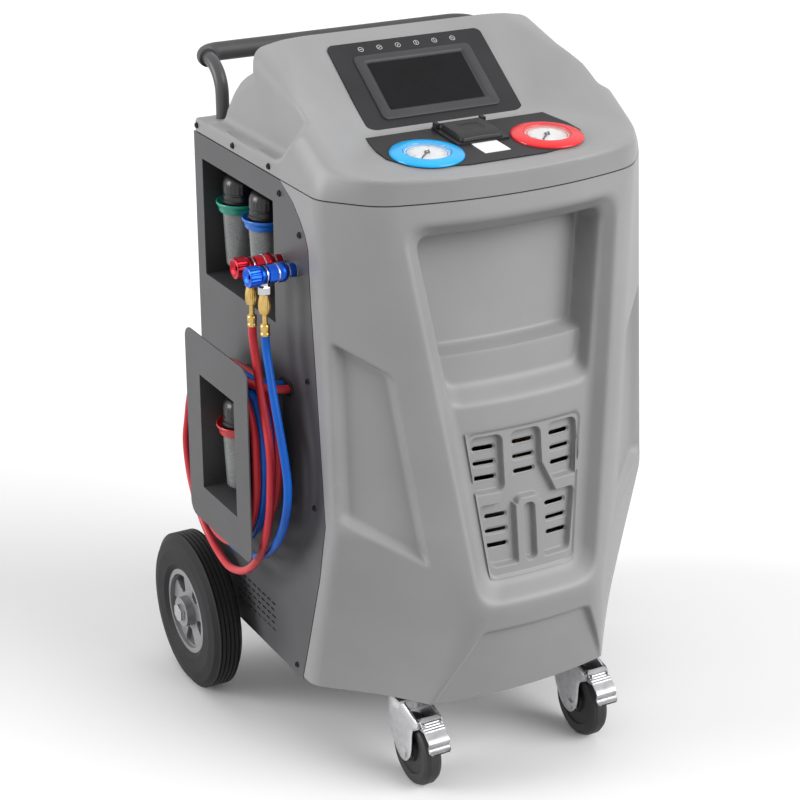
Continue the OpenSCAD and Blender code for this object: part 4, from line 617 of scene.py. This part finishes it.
# The scale runs clockwise over 270 degrees: 40 parts, each fifth tick longer and bolder
way = spokes(np.radians(225 - np.linspace(0, 270, 41)))
long = (np.arange(41) % 5 == 0)[:, None]
inner = way * np.where(long, 20.5, 23.0)
outer = way * 26.5
half = np.stack([-way[:, 1], way[:, 0]], axis=-1) * np.where(long, 0.35, 0.2)
ticks = np.stack([np.stack([end - half, end + half], axis=1) for end in (inner, outer)], axis=1)
band = np.array([27.0, 29.4])[:, None, None] * spokes(np.radians(225 - np.linspace(0, 270, 61)))
for name, side, plastic, slot, node in (("low", -1, cyan_ring, "cyan_ring", "low_gauge_bezel"),
                                        ("high", 1, red_ring, "red_ring", "high_gauge_bezel")):
    centre = np.array([side * gauge_x, gauge_up])
    ring = lathe(ring_outline, laid((*centre, 0), shelf), out_of_shelf, 96)
    made = piece(name + "_gauge_ring", ring, plastic)
    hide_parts(node)
    scale = [laid(lifted(tick + centre, 1.72), shelf) for tick in ticks]
    piece(name + "_gauge_scale", scale, black_print)
    piece(name + "_gauge_band", laid(lifted(band + centre, 1.7), shelf), plastic)


# Printer: a black plastic body set in the shelf with a hinged lid over the paper roll, and the end
# of a white thermal paper slip. The lid has round edges, a falling front and a sunk finger pad.
lid_low, lid_high, lid_foot = (-33, -95), (33, -36), 3.4
x, y = np.meshgrid(np.linspace(lid_low[0], lid_high[0], 89), np.linspace(lid_low[1], lid_high[1], 81))
edge = box(x, y, lid_low, lid_high, 5)
pad, key = box(x, y, (-17, -74), (17, -50), 4), box(x, y, (-14, -71), (14, -53), 3)
top = 12.0 - 3.4 * np.clip((-76 - y) / 19, 0, 1) ** 1.6 - 1.1 * (x / lid_high[0]) ** 2
top = top + step_down(pad, 1.8, 1.2) + step_down(-key, -1.0, 1.2) * (pad < 0)
top = lid_foot + (top - lid_foot) * np.clip(-edge / 1.6, 0, 1) ** 0.45
faces = [laid(lifted(np.stack([x, y], axis=-1), h), shelf) for h in (top, lid_foot)]
lid = piece("paper_lid_moulding", faces, black_plastic, body="paper_lid", sharp=50)
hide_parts("printer_lid")
thermal_paper = surface("thermal_paper", "#F2F2F0", "#FBFBFA", gloss=(0.5, 0.62), grain=0.3, relief=0.01,
                        blotch=15, edge=0.1)
dress(black_plastic, "printer_body")
dress(thermal_paper, "printer_paper")


# Mains module: a black moulded inlet clipped into the rear panel, with a red rocker switch that
# pivots in it.
switch_red = surface("switch_red", "#B51A1A", "#C62222", gloss=(0.2, 0.3), grain=0.6, relief=0.006,
                     blotch=20, edge=0.4)
dress(black_plastic, "power_inlet")
dress(switch_red, "power_rocker")


# Handle: two steel tubes with a satin coat, which stand in the cabinet through the console's rear
# ledge and bend to the rear, and a thicker foam-rubber grip that joins them.
handle_coat = surface("handle_coat", "#434345", "#4B4B4D", gloss=(0.34, 0.44), grain=1.2, relief=0.03,
                      blotch=60, edge=0.5)
grip_sleeve = surface("grip_sleeve", "#3A3A3C", "#434345", gloss=(0.5, 0.62), grain=0.8, relief=0.04,
                      blotch=40, edge=0.5)
dress(handle_coat, "push_handle")
dress(grip_sleeve, "handle_grip")


# Bottles: blown clear vessels under black coupling caps, held by a flared, fluted collar with a
# release tab, in teal, blue and red plastic.
def block(middle, half, power, turn=0.0, steps=24):
    """Rounded block: a superellipsoid with half sizes, turned about the upright axis."""
    def bent(v):
        return np.sign(v) * np.abs(v) ** power

    a = np.linspace(-np.pi / 2, np.pi / 2, steps)[:, None]
    b = np.linspace(-np.pi, np.pi, 2 * steps)[None, :]
    width = bent(np.cos(a))
    p = np.stack([width * bent(np.cos(b)), width * bent(np.sin(b)), bent(np.sin(a)) + 0 * b], axis=-1)
    p = p * half
    return np.stack([p[..., 0] * np.cos(turn) - p[..., 1] * np.sin(turn),
                     p[..., 0] * np.sin(turn) + p[..., 1] * np.cos(turn), p[..., 2]], axis=-1) + middle


vessel_clear = surface("vessel_plastic", "#8A8C8C", "#9A9C9C", gloss=(0.22, 0.32), grain=0.8,
                       relief=0.01, blotch=30, edge=0.0, transmission_weight=0.35,
                       specular_ior_level=0.6)
cap_black = surface("cap_plastic", "#161618", "#1E1E20", gloss=(0.25, 0.36), grain=0.6, relief=0.01,
                    blotch=30, edge=0.4)
teal_plastic = surface("teal_plastic", "#0C9078", "#14A288", gloss=(0.25, 0.35), grain=0.6, relief=0.008,
                       blotch=30, edge=0.5)
blue_plastic = surface("blue_plastic", "#1470DC", "#2084F0", gloss=(0.25, 0.35), grain=0.6, relief=0.008,
                       blotch=30, edge=0.5)
red_plastic = surface("red_plastic", "#C01820", "#D2242A", gloss=(0.25, 0.35), grain=0.6, relief=0.008,
                      blotch=30, edge=0.5)
up, tab_turn = (0, 0, 1), np.radians(-35)
vessel = [(0, -84), (20, -84), (22.4, -83), (23.2, -81), (26.6, -2), (26.8, 8), (25, 8), (24.8, -2),
          (21.4, -80), (0, -81.5)]
cap = [(25, 8), (27, 9), (27.6, 12), (27.6, 16), (25.4, 18), (25.4, 25), (24.2, 26), (24.2, 28),
       (25.4, 29), (25.4, 40), (24.6, 44), (22.4, 49), (18, 53.4), (12, 56), (6, 56.9), (0, 57)]
collar = [(27.2, 0.2), (31.4, 0.2), (32, 0.9), (32.6, 6.4), (33, 7.4), (34.8, 10), (36, 12), (36, 14.2),
          (35.4, 15), (34.4, 14.9), (32.6, 12.6), (29.4, 10.2), (28.2, 9.6), (27.2, 9.4), (27.2, 0.2)]
for name, at, plastic, slot in (("new_oil", (-218, 180, 779), teal_plastic, "teal_plastic"),
                                ("dye", (-218, 90, 779), blue_plastic, "blue_plastic"),
                                ("used_oil", (-292, 38, 492), red_plastic, "red_plastic")):
    made = piece(name + "_vessel", lathe(vessel, at, up, 48), vessel_clear, body=name)
    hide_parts(name + "_bottle")
    piece(name + "_cap", lathe(cap, at, up, 96, 24, 0.9, (29.5, 40.5)), cap_black, body=name)
    tab = block(np.add(at, (22.6, -15.8, 39)), (4.6, 8.6, 7.4), 0.3, tab_turn)
    stem = block(np.add(at, (24.4, -17.1, 24)), (1.8, 7.0, 10.0), 0.3, tab_turn)
    ring = lathe(collar, at, up, 144, 36, 0.8, (1.2, 6.2))
    made = piece(name + "_collar_ring", [ring, tab, stem], plastic, body=name)
    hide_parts(name + "_collar")


# Couplers: turned aluminium with a coloured anodised skin, fluted hand knobs and plated snap rings,
# parked on plated posts. The hoses hang from them by turned brass ends under hexagon nuts.
red_anodised = surface("red_anodised", "#A01826", "#B42230", gloss=(0.22, 0.34), grain=0.4, relief=0.01,
                       blotch=20, edge=0.4, metallic=0.9)
blue_anodised = surface("blue_anodised", "#184CB8", "#2460D4", gloss=(0.22, 0.34), grain=0.4,
                        relief=0.01, blotch=20, edge=0.4, metallic=0.9)
brass = surface("brass", "#BE9A52", "#D2B476", gloss=(0.2, 0.34), grain=0.4, relief=0.012, blotch=20,
                edge=0.4, metallic=1.0)
plated_steel = surface("plated_steel", "#B8B8BA", "#C8C8CA", gloss=(0.18, 0.3), grain=0.5, relief=0.008,
                       blotch=25, edge=0.4, metallic=1.0)
black_rubber = surface("black_rubber", "#1A1A1B", "#222223", gloss=(0.5, 0.65), grain=0.8, relief=0.04,
                       blotch=40, edge=0.5)
coupler_z, knob_x, outward = 774, -316.4, (-1, 0, 0)
barrel = [(7.2, 0), (9.4, 0), (10, 0.7), (10, 8), (8.6, 9), (8.6, 11.4), (10.4, 13), (12.6, 14.6),
          (13.8, 16.4), (14, 18), (14, 25), (13, 26.2), (13, 40), (12.4, 41.2), (10.6, 41.6), (10.6, 46),
          (12.4, 46.4), (13, 47.4), (13, 52), (11.6, 53.6), (4, 53.6), (4, 66)]
snap_rings = ([(13.0, 26.6), (13.9, 26.8), (13.9, 28.6), (13.0, 28.8)],
              [(10.6, 44.2), (12.8, 44.3), (12.8, 45.8), (10.6, 45.9)],
              [(8.6, 9.2), (10.2, 9.4), (10.2, 11.2), (8.6, 11.4)])
knob = [(4.2, 0), (12.4, 0), (14.4, 0.8), (15, 2.2), (15, 14.4), (14.4, 16.2), (13.2, 17), (11.8, 16.8),
        (8.4, 14.6), (5.6, 13.4), (4.2, 13.2), (4.2, 0)]
for name, y, anodised, slot in (("high", high_y, red_anodised, "red_anodised"),
                                ("low", low_y, blue_anodised, "blue_anodised")):
    at = (panel_x, y, coupler_z)
    made = piece(name + "_coupler_barrel", lathe(barrel, at, outward), anodised)
    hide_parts(name + "_coupler_body")
    piece(name + "_coupler_rings", [lathe(ring, at, outward) for ring in snap_rings], plated_steel)
    grip = lathe(knob, (knob_x, y, coupler_z), outward, 108, 18, 1.3, (2.0, 14.6))
    made = piece(name + "_hand_knob", grip, anodised, body=name + "_knob")
    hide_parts(name + "_coupler_knob")
hose_end = [(0, 686), (6.3, 686), (6.9, 687), (6.9, 690), (6.3, 690.8), (6.3, 693), (6.9, 693.8),
            (6.9, 700), (6.4, 702), (3.8, 704), (3.6, 705), (3.6, 717), (6, 718), (7.4, 719), (8.8, 724),
            (9.1, 730), (8.6, 737), (7.2, 743), (6.8, 746), (0, 746)]
hex_nut = [(0, 746.4), (8.6, 746.4), (9.6, 747.6), (9.6, 757.2), (8.6, 758.4), (6, 758.4), (6, 763),
           (0, 763)]
feet = [(hose_end_x, y, 0) for y in (high_y, low_y)]
made = piece("hose_ends", [lathe(hose_end, at, up, 80, 20, 0.6, (722, 738)) for at in feet], brass)
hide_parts("hose_end_fittings")
piece("hose_end_nuts", [lathe(hex_nut, at, up, 6) for at in feet], plated_steel, sharp=25)
dress(brass, "valve_block")
dress(plated_steel, "coupler_posts", "rear_axle", "tank_scale")
dress(black_rubber, "hose_grommet")


# Wheels: solid rubber tyres on painted rims at the rear, on a plated axle. At the front braked
# casters in zinc-plated pressings: domed fork sides, and a folded pedal with ribs to tread on.
tyre_rubber = surface("tyre_rubber", "#1A1A1C", "#222224", gloss=(0.6, 0.75), grain=1.2, relief=0.06,
                      blotch=50, edge=0.8, specular_ior_level=0.3)
rim_paint = surface("rim_paint", "#8E8E90", "#9A9A9C", gloss=(0.3, 0.4), grain=1.0, relief=0.03,
                    blotch=60, edge=0.8, metallic=0.3)
# The same zinc plating in two copies: lighter on the forks and plates as painted light, darker on the
# pedals as painted shade, to even out what they reflect.
zinc_painted_light = surface("zinc_plate_painted_light", "#C8C8CA", "#D8D8DA", gloss=(0.26, 0.4), grain=2.5, relief=0.02, blotch=12,
               edge=0.6, metallic=0.85)
pedal_zinc_painted_shade = surface("pedal_zinc_plate_painted_shade", "#98989A", "#AAAAAC", gloss=(0.3, 0.44), grain=2.5, relief=0.02,
                     blotch=12, edge=0.5, metallic=0.9)
dress(tyre_rubber, "left_tyre", "right_tyre")
dress(black_rubber, "left_caster_wheel", "right_caster_wheel")
dress(rim_paint, "left_rim", "right_rim")
dress(zinc_painted_light, "caster_plates", "left_caster_fork", "right_caster_fork")
casters = (("left", -144), ("right", 144))

# Fork sides: the outline (y, z) spaced evenly and rounded by a mean over seven points, then drawn
# in to its middle by a section of (share of the way out, distance from the caster's centre plane)
outline = [(-175, 132), (-175, 112), (-176, 90), (-182, 71), (-193, 54), (-203, 43), (-215, 37),
           (-227, 38), (-238, 48), (-244, 62), (-245, 78), (-246, 96), (-252, 107), (-262, 110),
           (-264, 118), (-258, 123), (-246, 124), (-222, 132)]
section = [(0, 22.6), (0.5, 22.6), (0.82, 22.3), (0.93, 21.7), (0.98, 21), (1, 20.6), (1, 20.2),
           (0, 20.2)]
outline = np.array(outline + outline[:1])
run = run_along(outline)
even = np.stack([np.interp(np.linspace(0, run[-1], 161)[:-1], run, c) for c in outline.T], axis=-1)
even = np.mean([np.roll(even, k, axis=0) for k in range(-3, 4)], axis=0)
even = np.vstack([even, even[:1]])
middle = even.mean(axis=0)
share, out = np.transpose(section)[:, :, None, None]
plate = middle + share * (even - middle)
out = np.broadcast_to(out, plate.shape[:2] + (1,))
for name, x in casters:
    sides = [np.concatenate([x + way * out, plate], axis=-1) for way in (-1, 1)]
    piece(name + "_fork_sides", sides, zinc_painted_light, body=name + "_caster")

# Pedals: the tread's line (y, z) from its pivot, as a sheet with ribs across it and narrower ends,
# leant down to the front, with two arms and a boss on the pivot
tread = np.array([(3, 7.7), (-4, 7.9), (-16, 7.9), (-28, 7.9), (-34, 7.5), (-37.5, 6), (-39.5, 3.4),
                  (-40.6, 0.6), (-42.4, -1.2), (-45, -1.8), (-49.5, -1.2), (-52, 0.2)])
tread_step, rib_at, slope = 0.6, np.array([-6, -10, -14, -18]), np.radians(38)
line = natural_spline(np.pad(tread, ((0, 0), (1, 0))), tread_step)[:, 1:]
along = np.gradient(line, axis=0)
normal = np.stack([along[:, 1], -along[:, 0]], axis=-1) / np.linalg.norm(along, axis=1, keepdims=True)
ribs = 0.8 * np.exp(-((line[:, :1] - rib_at) / 0.9) ** 2).sum(axis=1, keepdims=True)
end = np.minimum(np.arange(len(line)), np.arange(len(line))[::-1])[:, None] * tread_step
half = 17.5 - 4 * (1 - np.clip(end / 5, 0, 1)) ** 2
across = np.array([-1.0, -1.0, -0.97, -0.6, 0, 0.6, 0.97, 1.0, 1.0])[None, :]
thick = np.array([0, 0.5, 1.1, 1.1, 1.1, 1.1, 1.1, 0.5, 0])[None, :, None]
ridge = np.array([0, 0, 0, 1, 1, 1, 0, 0, 0])[None, :, None] * ribs[:, None]
boss = [(3.2, -16), (6.2, -16), (6.5, -15.6), (6.5, 15.6), (6.2, 16), (3.2, 16), (3.2, -16)]
pedal = []
for raised in (thick + ridge, -thick):
    flat = line[:, None] + normal[:, None] * raised
    pedal.append(np.stack([half * across, flat[..., 0] * np.cos(slope) - flat[..., 1] * np.sin(slope),
                           flat[..., 0] * np.sin(slope) + flat[..., 1] * np.cos(slope)], axis=-1))
pedal += [block((x, -7.5, -2.5), (1.5, 8.5, 7.0), 0.3) for x in (-14, 14)]
pedal.append(lathe(boss, (0, 0, 0), (1, 0, 0), 32))
for name, x in casters:
    made = piece(name + "_pedal", [part + (x, -257, 116) for part in pedal], pedal_zinc_painted_shade,
                 body=name + "_brake")
    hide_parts(name + "_brake_pedal")


# Inside: a welded tank, the compressor and the vacuum pump in pale enamel on the chassis, and a
# green circuit board behind the screen. The closed cabinet hides them.
tank_paint = surface("tank_paint", "#C2C6C8", "#CED2D4", gloss=(0.3, 0.4), grain=1.0, relief=0.02,
                     blotch=80, edge=0.8)
board_green = surface("board_green", "#1C5C34", "#226A3C", gloss=(0.4, 0.5), grain=0.6, relief=0.02,
                      blotch=15, edge=0.3)
dress(tank_paint, "refrigerant_tank", "compressor", "vacuum_pump")
dress(board_green, "control_board")
